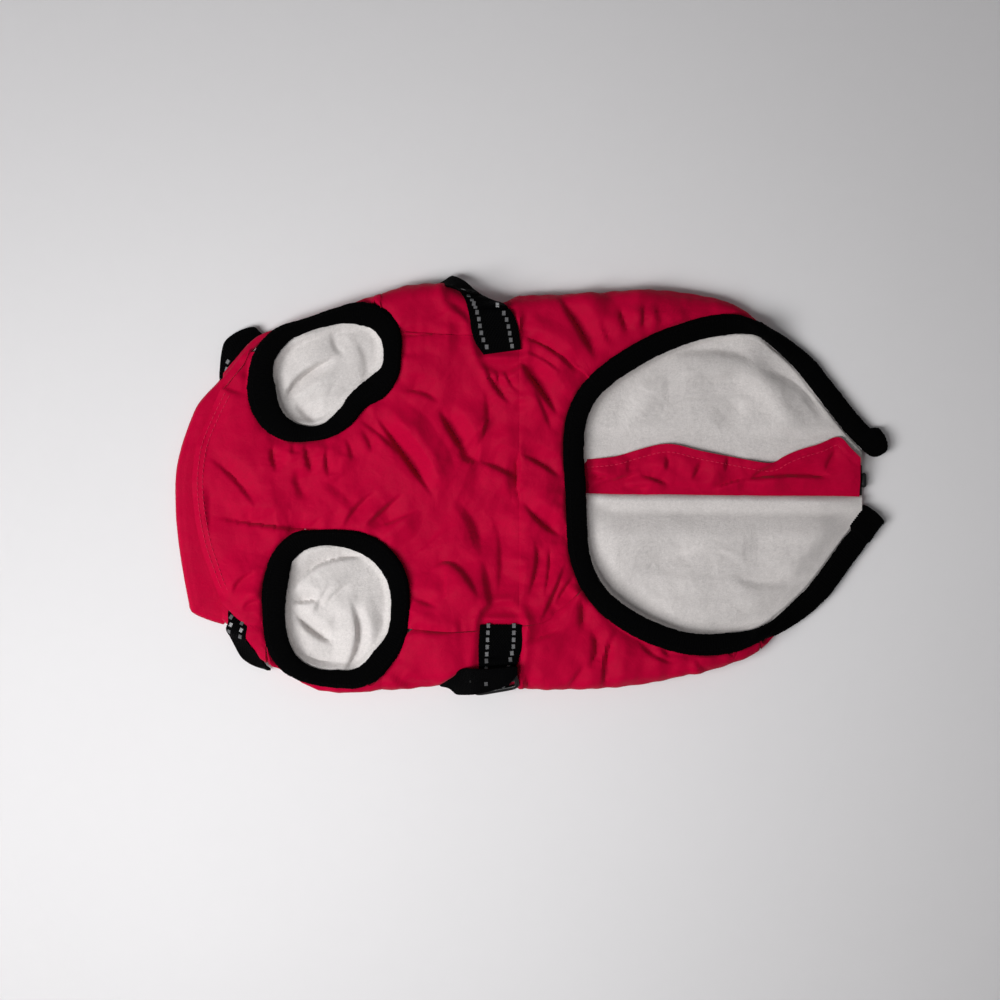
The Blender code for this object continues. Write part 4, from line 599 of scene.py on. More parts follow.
def cut_sheet(outline, pitch, top, bottom):
    """Points and faces of a panel cut to an outline. Its two sides are heights over an even grid in plan, whose
    edge points lie on the outline itself."""
    outline = np.asarray(outline, dtype=float)
    low, high = outline.min(axis=0) - pitch, outline.max(axis=0) + pitch
    x, y = np.meshgrid(np.arange(low[0], high[0], pitch), np.arange(low[1], high[1], pitch), indexing="ij")
    middle_x, middle_y = x[:-1, :-1] + pitch / 2, y[:-1, :-1] + pitch / 2
    kept = np.zeros(middle_x.shape, dtype=bool)
    for (ax, ay), (bx, by) in zip(outline, np.roll(outline, -1, axis=0)):
        crosses = (ay > middle_y) != (by > middle_y)
        kept ^= crosses & (middle_x < (bx - ax) * (middle_y - ay) / (by - ay if by != ay else 1.0) + ax)
    wide = np.pad(kept, 1)
    around = wide[:-1, :-1].astype(int) + wide[1:, :-1] + wide[:-1, 1:] + wide[1:, 1:]
    used, edge = around > 0, (around > 0) & (around < 4)
    spots = np.column_stack([x[edge], y[edge]])
    ends = np.roll(outline, -1, axis=0)
    run = ends - outline
    t = ((spots[:, None, :] - outline) * run).sum(axis=2) / np.maximum((run**2).sum(axis=1), 1e-9)
    close = outline + np.clip(t, 0.0, 1.0)[..., None] * run
    nearest = np.linalg.norm(close - spots[:, None, :], axis=2).argmin(axis=1)
    spots = close[np.arange(len(spots)), nearest]
    x[edge], y[edge] = spots[:, 0], spots[:, 1]
    number = np.full(x.shape, -1)
    number[used] = np.arange(used.sum())
    x, y = x[used], y[used]
    above = top(x, y)
    below = np.minimum(bottom(x, y), above - 0.5)
    points = np.vstack([np.column_stack([x, y, above]), np.column_stack([x, y, below])])
    count = len(x)
    i, j = np.nonzero(kept)
    quads = np.stack([number[i, j], number[i + 1, j], number[i + 1, j + 1], number[i, j + 1]], axis=1)
    rims = []
    for (di, dj), (p, q) in (((0, -1), (0, 1)), ((1, 0), (1, 2)), ((0, 1), (2, 3)), ((-1, 0), (3, 0))):
        bare = ~wide[i + 1 + di, j + 1 + dj]
        a, b = quads[bare, p], quads[bare, q]
        rims.append(np.stack([b, a, a + count, b + count], axis=1))
    corners = np.vstack([quads, quads[:, ::-1] + count] + rims)
    return points, [(corners, points[corners][..., :2])]


def look():
    """The sizes and colours set in the sidebar."""
    return bpy.context.scene.dog_coat


def side_top(x):
    return np.interp(x, *np.array(HEIGHTS, dtype=float).T)


def crown(x, y):
    """Height of the belly side without its folds: low along the middle and full beside the side seams."""
    top = side_top(x)
    return CENTRE_TOP + (top - CENTRE_TOP) * smooth((np.abs(y) - SUNK_HALF) / (SHOULDER_Y - SUNK_HALF))


def arm_path(centre, rows, step=4.0):
    """Round a leg hole: x, y, 0 and half width of its binding, about a step apart."""
    angle = np.radians(np.arange(24) * 15.0)
    inner, outer = np.array(rows).T
    middle = (inner + outer) / 2
    table = np.column_stack([centre[0] + middle * np.cos(angle), centre[1] + middle * np.sin(angle),
                             0 * middle, (outer - inner) / 2])
    return rounded_path(table, step, closed=True)


def hem_path(step=4.0):
    """Along the hem: x, y, z, tilt in degrees and half width of its binding."""
    return rounded_path(HEM, step)


def offset(path, far, closed=False):
    """A path in plan, moved to its right by far."""
    run = tangents(path[:, :2], closed)
    return path[:, :2] + np.column_stack([run[:, 1], -run[:, 0]]) * np.reshape(far, (-1, 1))


def arm_edge(centre, rows, first, last):
    """The middle of a leg hole's binding in plan, from one angle to another."""
    at = np.linspace(first, last, 90)
    inner, outer = np.array(rows).T
    reach = np.interp(at % 360, np.arange(25) * 15.0, np.append(inner + outer, inner[0] + outer[0]) / 2)
    reach = np.convolve(np.pad(reach, 3, mode="edge"), np.full(7, 1 / 7), mode="valid")
    turned = np.radians(at)
    return np.column_stack([centre[0] + reach * np.cos(turned), centre[1] + reach * np.sin(turned)])


def seams():
    """Each sewn edge of the belly side: its path in plan, then depth, width, gather, fade, pitch and seed."""
    arms = []
    for centre, rows in ((LEFT_ARM_CENTRE, LEFT_ARM), (RIGHT_ARM_CENTRE, RIGHT_ARM)):
        path = arm_path(centre, rows)
        arms.append(np.vstack([path, path[:1]]))
    hem = hem_path()
    return (
        (np.array([(-7, 88.4), (-7.6, 40), (-6.6, 0), (-7.4, -40), (-7, -84.2)]), 0.3, 1.7, 1.3, 9, 8, 1),
        (rounded_path(LEFT_SIDE_SEAM, 4), 0.5, 1.7, 0.9, 7, 6, 2),
        (rounded_path(RIGHT_SIDE_SEAM, 4), 0.5, 1.7, 0.9, 7, 6, 3),
        (offset(arms[0], arms[0][:, 3]), 0.8, 2.6, 1.3, 9, 8, 4),
        (offset(arms[1], arms[1][:, 3]), 0.8, 2.6, 1.3, 9, 8, 5),
        (offset(hem, hem[:, 4]), 0.8, 2.4, 1.1, 8, 8, 6),
        (rounded_path(NECK_EDGE, 4), 0.0, 2.0, 0.35, 6, 6, 7),
    )


def beside_strap(x, y, rungs):
    """How far each point stands from the middle of a strap's upper stretch."""
    table = np.array(rungs[-8:], dtype=float)
    off, _ = beside(x, y, (table[:, :2] + table[:, 3:5]) / 2, 24.0)
    return np.abs(off)


def under_binding(x, y):
    """1 where the cloth lies below a leg hole's or the hem's binding, 0 well clear of them."""
    cover = np.zeros(np.shape(x))
    for path in (arm_path(LEFT_ARM_CENTRE, LEFT_ARM), arm_path(RIGHT_ARM_CENTRE, RIGHT_ARM), hem_path()):
        if path.shape[1] == 4:
            path = np.vstack([path, path[:1]])
        off, along = beside(x, y, path, 12.0)
        half = np.interp(along, lengths(path[:, :2]), path[:, -1])
        cover = np.maximum(cover, smooth((half + 1.2 - np.abs(off)) / 2.6))
    return cover


def belly_relief(x, y):
    """Folds of the padded cloth on the belly side: creases and swellings, flat below the girth straps and
    puffed up beside them, gathers along its seams, broad crumpled planes, and pressed down by the bindings."""
    left, right = beside_strap(x, y, LEFT_GIRTH), beside_strap(x, y, RIGHT_GIRTH)
    calm = smooth((left - 10.5) / 5) * smooth((right - 10.5) / 5)
    folds = creased(x, y, BELLY_SIDE_CREASES) + swollen(x, y, BELLY_SIDE_SWELLS)
    height = folds * look().crease_strength * (1 + 0.25 * smooth((x + 105) / 45)) * calm
    for seam in seams():
        height = height + puckered(x, y, *seam) * (0.2 + 0.8 * calm)
    planes = facets(x, y, 31, 1) + 0.5 * facets(x, y, 15, 2) + 0.13 * facets(x, y, 7, 4) + 0.1 * noise(x, y, 6, 3)
    height = height + look().facet_height / MM * planes * (0.1 + 0.9 * calm)
    near = np.minimum(left, right)
    height = height + 1.5 * np.exp(-(((near - 15.5) / 3.2) ** 2)) - 0.7 * (1 - calm)
    height = height + swollen(x, y, STRAP_END_SWELLS)
    cover = under_binding(x, y)
    return height * (1 - cover) - 1.9 * cover


def belly_height(x, y):
    return crown(x, y) + belly_relief(x, y)


def belly_side(cloth):
    """The chest panel and the belly panel, each a height over the plan. The chest panel's front edge rounds down
    on the collar, z falling as 1 - sqrt(1 - (1 - t)^2)."""
    left_arm = arm_edge(LEFT_ARM_CENTRE, LEFT_ARM, 161, 388)
    right_arm = arm_edge(RIGHT_ARM_CENTRE, RIGHT_ARM, -17, 209)
    neck = rounded_path(NECK_EDGE, 3.0)
    left_seam, right_seam = (rounded_path(rows, 4) for rows in (LEFT_SIDE_SEAM, RIGHT_SIDE_SEAM))
    fore_left, fore_right = (seam[(seam[:, 0] > -79) & (seam[:, 0] < WAIST_X)] for seam in (left_seam, right_seam))
    corners = np.array([[WAIST_X + 0.5, 88.4], [WAIST_X + 0.5, -84.2]])
    outline = np.vstack([neck, RIGHT_SHOULDER[1:], right_arm[::-1], fore_right, corners[1:], corners[:1],
                         fore_left[::-1], left_arm[::-1], LEFT_SHOULDER[:-1]])

    def chest_top(x, y):
        height = belly_height(x, y)
        off, along = beside(x, y, neck)
        full = lengths(neck)[-1]
        low = smooth((along - 1) / 13) * smooth((full - along - 1) / 13)
        t = np.clip(np.abs(off) / 13.0, 0.0, 1.0)
        rows = 0.3 * np.exp(-(((np.abs(off) - 3.4) / 0.7) ** 2)) + 0.3 * np.exp(-(((np.abs(off) - 6.6) / 0.7) ** 2))
        height = height - (crown(x, y) - 6.9) * (1 - t) ** 2 * low + rows * low - 0.3 * smooth((x - WAIST_X + 0.4) / 0.8)
        for shoulder in (LEFT_SHOULDER, RIGHT_SHOULDER):
            off = np.abs(beside(x, y, rounded_path(shoulder, 2.0), 10.0)[0])
            height = height + 0.25 * smooth((7 - off) / 4) - 0.8 * (1 - np.clip(off / 1.4, 0, 1)) ** 2
        return height

    def belly_top(x, y):
        return belly_height(x, y) - 0.3 * smooth((WAIST_X + 0.4 - x) / 0.8)

    def bottom(x, y):
        return crown(x, y) - PANEL_WALL

    chest = piece("chest_cloth", *cut_sheet(outline, 1.0, chest_top, bottom), cloth, "shell", ["chest_panel"])
    hem = hem_path()[:, :2]
    first = np.argmin(np.linalg.norm(hem - (34.6, 60), axis=1))
    last = np.argmin(np.linalg.norm(hem - (33.6, -57), axis=1))
    back_left, back_right = (seam[seam[:, 0] > WAIST_X + 2] for seam in (left_seam, right_seam))
    corners[:, 0] = WAIST_X - 0.5
    outline = np.vstack([corners[:1], back_left, hem[first : last + 1], back_right[::-1], corners[1:]])
    belly = piece("belly_cloth", *cut_sheet(outline, 0.9, belly_top, bottom), cloth, "shell", ["belly_panel"])


def stations_at(stations, x):
    """Values of a table of sections at each x. A roll that has no room to close ends where its edge is."""
    table = np.array(stations, dtype=float)
    side, roll, turn, edge = (np.interp(x, table[:, 0], table[:, k]) for k in range(1, 5))
    room = (side - SHELL_WALL / 2 - edge) / roll
    short = np.degrees(np.arccos(np.clip(1.0 - room, -1.0, 1.0)))
    return side, roll, np.where(room < 1.0, np.minimum(turn, short), turn), edge


def back_half(name, node, stations, sign, roll_creases, girth_x, cloth):
    """Half of the outer back. Each section across the body runs flat on the floor, round the side roll as
    (cos, sin) of an angle, and in over the belly side. It is pushed along its normal by folds of its own."""
    x = np.linspace(SHELL_FRONT, SHELL_BACK, 236)
    side, roll, turn, edge = stations_at(stations, x)
    arms = smooth((x + 168) / 6) * smooth((-93 - x) / 6)
    turn = np.maximum(turn, 50 * arms)
    tail = smooth((x - 146) / 8)
    side = side + 3.0 * tail
    tucked = np.maximum(smooth((-76 - x) / 3), smooth((x - 33) / 4))
    edge = edge - 5.0 * tucked - 1.8 * (1 - tucked)
    high = np.maximum((side_top(x) - SHELL_WALL) / 2, 2.0)
    middle = side - SHELL_WALL / 2 - roll
    start = ZIP_CHAIN_HALF + SEAM_GAP + sign * ZIP_Y
    angle = np.radians(-90 + np.linspace(0, 1, 30)[None, :] * (turn[:, None] + 90))
    arc_y = middle[:, None] + roll[:, None] * np.cos(angle)
    arc_z = SHELL_WALL / 2 + high[:, None] * (1 + np.sin(angle))
    closes = smooth((turn - 80) / 8)
    last = arc_y[:, -1] - np.maximum(arc_y[:, -1] - edge, 0.0) * closes
    flat = np.linspace(0, 1, 24)[None, :-1]
    lines = []
    for k in range(len(x)):
        end_y, end_z = last[k] - 0.01 * math.sin(math.radians(turn[k])), 0.01 * math.cos(math.radians(turn[k]))
        line = np.column_stack([np.append(arc_y[k], end_y), np.append(arc_z[k], arc_z[k, -1] + end_z)])
        gone = lengths(line)
        at = np.linspace(0, gone[-1], 46)
        lines.append(np.column_stack([np.interp(at, gone, line[:, 0]), np.interp(at, gone, line[:, 1])]))
    lines = np.array(lines)
    flat_y = start + (middle[:, None] - start) * flat
    y = np.concatenate([flat_y, lines[..., 0]], axis=1)
    z = np.concatenate([np.full(flat_y.shape, SHELL_WALL / 2), lines[..., 1]], axis=1)
    run = unit(np.stack([np.gradient(y, axis=1), np.gradient(z, axis=1)], axis=-1))
    out_y, out_z = run[..., 1], -run[..., 0]
    across_x = np.broadcast_to(x[:, None], y.shape)
    around = np.concatenate([np.zeros((len(x), 1)), np.cumsum(np.hypot(np.diff(y), np.diff(z)), axis=1)], axis=1)
    around = around - around[:, 23:24]
    up = smooth((out_z - 0.05) / 0.6)
    folds = belly_relief(across_x, sign * y)
    rolls = np.array(roll_creases, dtype=float)
    lean = (around[..., None] - 13) / 13
    s = (across_x[..., None] - rolls[:, 0] - rolls[:, 1] * lean) / rolls[:, 2]
    round_side = -(rolls[:, 3] * (np.exp(-np.abs(s) ** 1.6) - 0.45 * np.exp(-((np.abs(s) - 2.4) ** 2)))).sum(axis=-1)
    round_side = 0.2 * round_side + 0.7 * facets(across_x, around, 30, 6) + 0.12 * facets(across_x, around, 11, 8)
    under = smooth((-out_z - 0.75) / 0.2)
    pressed = np.minimum(creased(across_x, sign * y, BACK_CREASES), 0.0)
    pressed = pressed - 0.35 * smooth(np.abs(noise(across_x, y, 17, 9)))
    off_zip = y - start
    pressed = pressed - 0.8 * np.exp(-((off_zip / 1.6) ** 2)) * (1 + noise(across_x, 0 * y, 5, 3))
    push = up * folds + (1 - up) * (1 - under) * round_side * smooth((out_z + 1) / 0.6) + under * pressed
    push = push * (1 - 0.9 * smooth((across_x - 134) / 6))
    sunk = smooth((14.6 - np.abs(across_x - girth_x)) / 1.6) + smooth((-168 - across_x) / 3) * (sign < 0)
    sunk = 2.05 * sunk * smooth((run[..., 0] + 0.2) / 0.4)
    sunk = sunk + 1.3 * smooth((around - around[:, -1:] + 1.7) / 1.3) * (turn > 80)[:, None]
    outer_push = SHELL_WALL / 2 + np.where(sunk > 0.05, np.minimum(push, 0) * 0.3, push) - sunk
    inner_push = -SHELL_WALL / 2 + np.minimum(push, 0.0) * smooth((out_z + 0.4) / 0.4)
    sides = []
    for far in (outer_push, inner_push):
        height = np.maximum(z + out_z * far, 0.02)
        height = np.minimum(height, 2.9 + 40 * smooth((150 - across_x) / 6))
        sides.append(np.stack([across_x, sign * (y + out_y * far), height], axis=-1))
    made = piece(name, *folded_sheet(*sides), cloth, "shell", [node])
    return made


def fleece_half(name, node, stations, sign, inner_y, fleece):
    """Half of the fleece lining, a height over the plan: it lies on the back, swells and creases where it
    shows, climbs to the bindings, and is covered in soft tufts."""
    x = np.concatenate([np.arange(SHELL_FRONT, -168, 4), np.arange(-168, -78, 1.15), np.arange(-78, 22, 4),
                        np.arange(22, SHELL_BACK, 1.15), [SHELL_BACK]])
    table = np.array(stations, dtype=float)
    reach = np.interp(x, table[:, 0], table[:, 1] - table[:, 2]) + 2.5
    hem = hem_path()
    edge = hem[(hem[:, 0] > 44) & (hem[:, 1] * sign > 0)]
    edge = edge[np.argsort(edge[:, 0])]
    limit = np.interp(x, edge[:, 0], np.abs(edge[:, 1])) + 1.0
    reach = reach + (limit - reach) * smooth((x - 50) / 30)
    v = np.linspace(0, 1, 88)[None, :]
    inner_y = inner_y[0] + (inner_y[1] - inner_y[0]) * smooth((x - 20) / 180)[:, None]
    y = inner_y + (sign * reach[:, None] - inner_y) * v
    x = np.broadcast_to(x[:, None], y.shape)
    centre, rows = (LEFT_ARM_CENTRE, LEFT_ARM) if sign > 0 else (RIGHT_ARM_CENTRE, RIGHT_ARM)
    arm = arm_path(centre, rows)
    arm = np.vstack([arm, arm[:1]])
    arm_off, _ = beside(x, y, arm, 60.0)
    hem_off, hem_along = beside(x, y, hem, 60.0)
    hem_off = -hem_off
    hem_z, hem_half = (np.interp(hem_along, lengths(hem[:, :2]), hem[:, k]) for k in (2, 4))
    in_bay = smooth((x - 24) / 6)
    show = np.maximum(smooth((arm_off - 2) / 5) * (arm_off < 50), smooth((-hem_off - 2) / 6) * smooth((x - 20) / 6))
    clear = smooth(np.abs(y - inner_y) / 8 - (2.0 if sign > 0 else 0.1))
    folds = 1.1 * creased(x, y, FLEECE_CREASES, 2.4) + 1.5 * creased(x, y, LEG_CREASES)
    puff = 4.2 * np.exp(-(((hem_off + 25) / 9) ** 2)) * smooth((y - 26) / 10) * smooth((x - 52) / 20) * smooth((168 - x) / 30)
    base = LINING_TOP + (swollen(x, y, FLEECE_SWELLS) + folds + puff * in_bay) * show * clear
    lit = smooth((0.94 * (x - centre[0]) + 0.34 * (y - centre[1]) + 32) / 40)
    close = smooth((10.0 - arm_off) / 4)
    to_arm = ((0.12 + 0.5 * lit) * (1 - close) + close) * (arm_off < 50) * smooth((arm_off + 12) / 8)
    base = base + (crown(x, y) - 3.2 - LINING_TOP) * to_arm
    close = smooth((hem_off + hem_half + 2.5) / 4)
    to_hem = (0.3 * smooth((24.0 + hem_off) / 18.0) * (1 - close) + close) * in_bay * smooth((10 - hem_off) / 8)
    base = base + np.maximum(hem_z - 2.0 - LINING_TOP, -1.4) * to_hem
    tufts = 0.14 * noise(x, y, 9, 2) + 0.05 * noise(x, y, 4.2, 3) + look().fleece_relief / MM * noise(x, y, 1.9, 4)
    seen = np.maximum(smooth((arm_off - 1) / 3) * (arm_off < 50), smooth((1 - hem_off) / 3) * in_bay)
    top = base + tufts * (0.25 + 0.75 * seen)
    under = smooth((hem_off + hem_half + 1.0) / 2.0) * smooth((x - 60) / 30)
    top = top + np.minimum(hem_z - 3.6 - top, 0.0) * under
    top = np.maximum(top, 3.7)
    from_edge = np.abs(y - inner_y)
    if sign < 0:
        ridge = 2.6 * np.exp(-(((from_edge - 4.2) / 2.9) ** 2)) - 1.2 * np.exp(-(((from_edge - 10.5) / 3.5) ** 2))
        ridge = ridge * (1 + 0.25 * noise(x, 0 * y, 16, 5)) + 3.6 * smooth((from_edge - 11) / 15)
        top = top + ridge * in_bay * smooth((-hem_off - 7) / 16)
    top = top - 2.0 * (1 - np.clip(from_edge / 2.2, 0, 1)) ** 2
    low = np.minimum(LINING_BOTTOM + np.maximum(top - 9, 0), top - 0.6)
    made = piece(name, *folded_sheet(np.stack([x, y, top], axis=-1), np.stack([x, y, low], axis=-1)),
                 fleece, "fleece", [node])
    return made


def collar_band(cloth):
    """The band round the back of the neck, a low height over the plan with a rounded front edge."""
    outline = rounded_path(COLLAR_FRONT, 3.0)
    outline = np.vstack([outline, [(-180.5, -76.0), (-180.5, 62.0)]])
    front = outline[:-2]

    def top(x, y):
        off, along = beside(x, y, front)
        t = np.clip(np.abs(off) / 4.5, 0.0, 1.0)
        gathers = 0.5 * noise(along, 0.3 * off, 7, 2) * np.exp(-np.abs(off) / 6)
        seam = 0.5 * np.exp(-(((np.abs(off) - 4.2) / 0.9) ** 2))
        return 5.9 - 3.3 * (1 - np.sqrt(1 - (1 - t) ** 2)) + gathers - seam + 0.6 * facets(x, y, 13, 3)

    def bottom(x, y):
        off, _ = beside(x, y, front)
        return 2.2 * (1 - np.clip(np.abs(off) / 4.0, 0.0, 1.0)) ** 2 + 0.02

    made = piece("collar_band", *cut_sheet(outline, 1.3, top, bottom), cloth, "shell", ["collar"])


def flap_height(x, y):
    """The wind flap's upper side: low under the fleece's edge, then up on the fleece, its free edge a little
    lifted in uneven waves."""
    free = rounded_path(FLAP_FREE_EDGE, 3.0)
    off, along = beside(x, y, free)
    off = np.abs(off)
    shown = smooth((x - 26) / 12)
    height = 5.0 + 2.4 * smooth((y + 4.5) / 8)
    lift = (1.1 + 0.9 * noise(along, 0 * off, 15, 2)) * np.exp(-((off / 5.0) ** 2)) - 0.35 * np.exp(-(((off - 4.9) / 0.7) ** 2))
    folds = 2.0 * creased(x, y, FLAP_CREASES) + 1.9 * facets(x, y, 17, 5) + 0.4 * facets(x, y, 9, 2)
    height = height + shown * (lift + folds * smooth((y + 7) / 6))
    return np.maximum(height, 4.7 + 1.7 * smooth((y - 8) / 3))


def wind_flap(cloth):
    """The flap over the zip, a thin cloth whose height is given over the plan."""
    free = rounded_path(FLAP_FREE_EDGE, 2.0)
    outline = np.vstack([free, [(199, FLAP_LOW_Y - 1.5), (-184, FLAP_LOW_Y - 1.5)]])
    made = piece("zip_flap", *cut_sheet(outline, 1.0, flap_height, lambda x, y: flap_height(x, y) - 1.1),
                 cloth, "shell", ["wind_flap"])


def zip_teeth(tape, metal):
    """Both zip tapes, and a closed chain of rounded teeth below them: each tooth is an oval block, and the two
    rows lock half a pitch apart."""
    x = np.linspace(SHELL_FRONT + 1, ZIP_BACK + 2.2, 200)[:, None]
    y = np.linspace(-9, 9, 25)[None, :]
    rib = 0.08 * np.cos(2 * np.pi * y / 1.5)
    flat = np.stack(np.broadcast_arrays(x, ZIP_Y + y, 4.1 + rib), axis=-1)
    low = np.stack(np.broadcast_arrays(x, ZIP_Y + y, 3.3 - rib), axis=-1)
    cord_parts = []
    for side in (-1, 1):
        path = np.column_stack([x[:, 0], np.full(len(x), ZIP_Y + side * 2.0), np.full(len(x), 2.6)])
        out, up = np.tile([0.0, 1.0, 0.0], (len(x), 1)), np.tile([0.0, 0.0, 1.0], (len(x), 1))
        cord_parts.append(tube(swept(path, out, up, 0.9, 0.8, 8, 1.0)))
    made = piece("zip_tapes", *together([folded_sheet(flat, low)] + cord_parts), tape, "webbing", ["zip"])
    at = np.array([-1.45, -1.3, -0.4, 0.5, 1.1, 1.35])
    path = np.column_stack([0 * at, at, 0 * at])
    out, up = np.tile([1.0, 0.0, 0.0], (6, 1)), np.tile([0.0, 0.0, 1.0], (6, 1))
    half = np.array([0.5, 0.62, 0.62, 0.5, 0.62, 0.4])
    tooth = tube(swept(path, out, up, half, half * 1.5, 8, 0.6))
    parts = []
    for side in (-1, 1):
        spots_x = np.arange(SHELL_FRONT + 3 + 0.75 * (side > 0), ZIP_BACK + 1.4, 1.5)
        spots = np.column_stack([spots_x, np.full(len(spots_x), ZIP_Y - side * 0.9), np.full(len(spots_x), 1.5)])
        along, across, up = np.array([[side * -1.0, 0, 0]]), np.array([[0, side * -1.0, 0]]), np.array([[0, 0, 1.0]])
        parts.append(scattered(tooth, spots, *(np.repeat(a, len(spots), axis=0) for a in (along, across, up))))
    piece("zip_teeth", *together(parts), metal, "hard_plastic")


def zip_end(plastic):
    """The moulded end stop: an oval section drawn along y, its ends rounded off."""
    at = np.linspace(-1, 1, 15)
    path = np.column_stack([np.full(15, ZIP_BACK + 3.4), ZIP_Y + at * 4.5, np.full(15, 3.4)])
    out, up = np.tile([1.0, 0.0, 0.0], (15, 1)), np.tile([0.0, 0.0, 1.0], (15, 1))
    round_off = np.sqrt(1 - 0.94 * at**6)
    piece("zip_end_stop", *tube(swept(path, out, up, 1.6 * round_off, 1.5 * round_off, 16, 0.5)),
          plastic, "hard_plastic", ["zip_stop"])


def knitted(path, out, up, half, thick, name, node, finish, closed=False):
    """Ribbed binding: a rounded section carried along the path, half its width and half its thickness given.
    Ribs run across it, the size varying as the cosine of the distance along, and loose yarn roughens its edges."""
    gone = lengths(path)
    pitch, depth = look().rib_pitch / MM, look().rib_height / MM
    if closed:
        around = gone[-1] + np.linalg.norm(path[0] - path[-1])
        pitch = around / round(around / pitch)
    rib = np.cos(2 * np.pi * gone / pitch)
    rough = 0.5 * noise(gone, 0 * gone, 2.3, 3) + 0.4 * noise(gone, 0 * gone, 1.1, 5)
    if closed:
        rough = rough * smooth(gone / 6) * smooth((gone[-1] - gone) / 6)
    wide, high = oval(20, 0.8)
    edge = np.abs(wide)[None, :] ** 4
    grow = 1 + edge * (0.06 * rough[:, None] + 0.016 * rib[:, None])
    half, thick = (np.broadcast_to(size, len(path))[:, None] for size in (half, thick))
    a = wide[None, :] * half * grow
    sag = 0.35 * noise(gone[:, None] + 0 * a, 8.0 * wide[None, :] + 0 * a, 9, 6)
    b = high[None, :] * (thick + depth / 2 * rib[:, None]) + sag * np.maximum(high, 0)[None, :]
    rings = path[:, None, :] + out[:, None, :] * a[..., None] + up[:, None, :] * b[..., None]
    made = piece(name, *tube(rings, closed), finish, "binding", [node])
    return made


def arm_binding(name, node, centre, rows, finish):
    """A leg hole's binding: it lies on the belly side round the hole."""
    table = arm_path(centre, rows, 0.36)
    path = np.column_stack([table[:, :2], crown(table[:, 0], table[:, 1]) - 0.95])
    gone = lengths(path)
    path[:, 2] += 0.7 * np.sin(gone * 2 * np.pi * 5 / gone[-1])
    run = tangents(table[:, :2], closed=True)
    out = np.column_stack([run[:, 1], -run[:, 0], np.zeros(len(run))])
    up = np.tile([0.0, 0.0, 1.0], (len(path), 1))
    knitted(path, out, up, table[:, 3], BINDING_HALF_THICK, name, node, finish, True)


def hem_axes(table):
    """The direction of the hem binding's width, and of its thickness, at each point of its path."""
    run = tangents(table[:, :3] * np.array([1.0, 1.0, 0.0]))
    tilt = np.radians(table[:, 3])[:, None]
    out = np.column_stack([-run[:, 1], run[:, 0], np.zeros(len(run))])
    wide = out * np.cos(tilt) + np.array([0, 0, 1.0]) * np.sin(tilt)
    return wide, np.cross(run, wide)


def hem_table(step):
    """The hem binding's path with, at each point, the directions of its width and thickness and half of both.
    It is thicker where it turns over, rounded and swollen outwards at its upper end, squarer at its lower."""
    table = hem_path(step)
    wide, high = hem_axes(table)
    gone = lengths(table[:, :3])
    left = gone[-1] - gone
    first, last = smooth((16 - gone) / 4), smooth((18 - left) / 1.4)
    square = (1 - (1 - np.clip(gone / 8, 0, 1)) ** 2.2) ** 0.5 * (1 - (1 - np.clip(left / 2.2, 0, 1)) ** 3) ** 0.5
    half = table[:, 4] * (1 + 0.3 * first + 0.34 * last) * np.maximum(square, 0.12)
    turned = np.sin(np.radians(table[:, 3])) ** 2
    thick = BINDING_HALF_THICK * (1 + 0.5 * turned + 0.22 * first + 0.12 * last) * np.maximum(square, 0.35)
    path = table[:, :3] + wide * (2.0 * last - 2.0 * first)[:, None]
    path[:, 2] = path[:, 2] + 0.9 * first + 0.5 * last
    return path, wide, high, half, thick


def hem_binding(finish):
    """The hem's binding from one folded end at the tail round the belly to the other."""
    path, wide, high, half, thick = hem_table(0.36)
    knitted(path, wide, high, half, thick, "hem_knit", "hem_binding", finish)


def ribbon(rungs, sewn_on=True, step=1.0):
    """Middle, the whole way across and face of webbing laid between two edges. Where it is sewn on, heights
    from 30 up count from the belly side's own."""
    table = rounded_path(rungs, step)
    lain = []
    for k in (0, 3):
        x, y, z = table[:, k], table[:, k + 1], table[:, k + 2]
        lain.append(np.column_stack([x, y, z + sewn_on * smooth((z - 24) / 5) * (crown(x, y) - 30.0)]))
    across = lain[1] - lain[0]
    path = (lain[0] + lain[1]) / 2
    return path, across, unit(np.cross(tangents(path), across))


def webbing_tape(name, node, rungs, finish, sewn_on=True, wall=1.5):
    """Webbing: a thin squared section whose width follows the rungs, a little bowed, woven edges beaded."""
    path, across, face = ribbon(rungs, sewn_on)
    wide, high = oval(32, 0.3)
    bead = 0.1 * np.exp(-(((np.abs(wide) - 0.93) / 0.05) ** 2))
    gone = lengths(path)[:, None]
    bow = 0.5 * (1 - wide[None, :] ** 2) * noise(gone + 6 * wide[None, :], 4 * wide[None, :] + 0 * gone, 15, 2)
    thick = high[None, :] * (wall / 2 + bead[None, :]) + bow
    flat_wide = wide[None, :] / 2 * (1 + 0.006 * np.cos(2 * np.pi * gone / 1.6))
    rings = path[:, None] + across[:, None] * flat_wide[..., None] + face[:, None] * thick[..., None]
    rings[..., 2] = np.maximum(rings[..., 2], 0.02)
    made = piece(name, *tube(rings), finish, "webbing", [node])
    return path, across, face


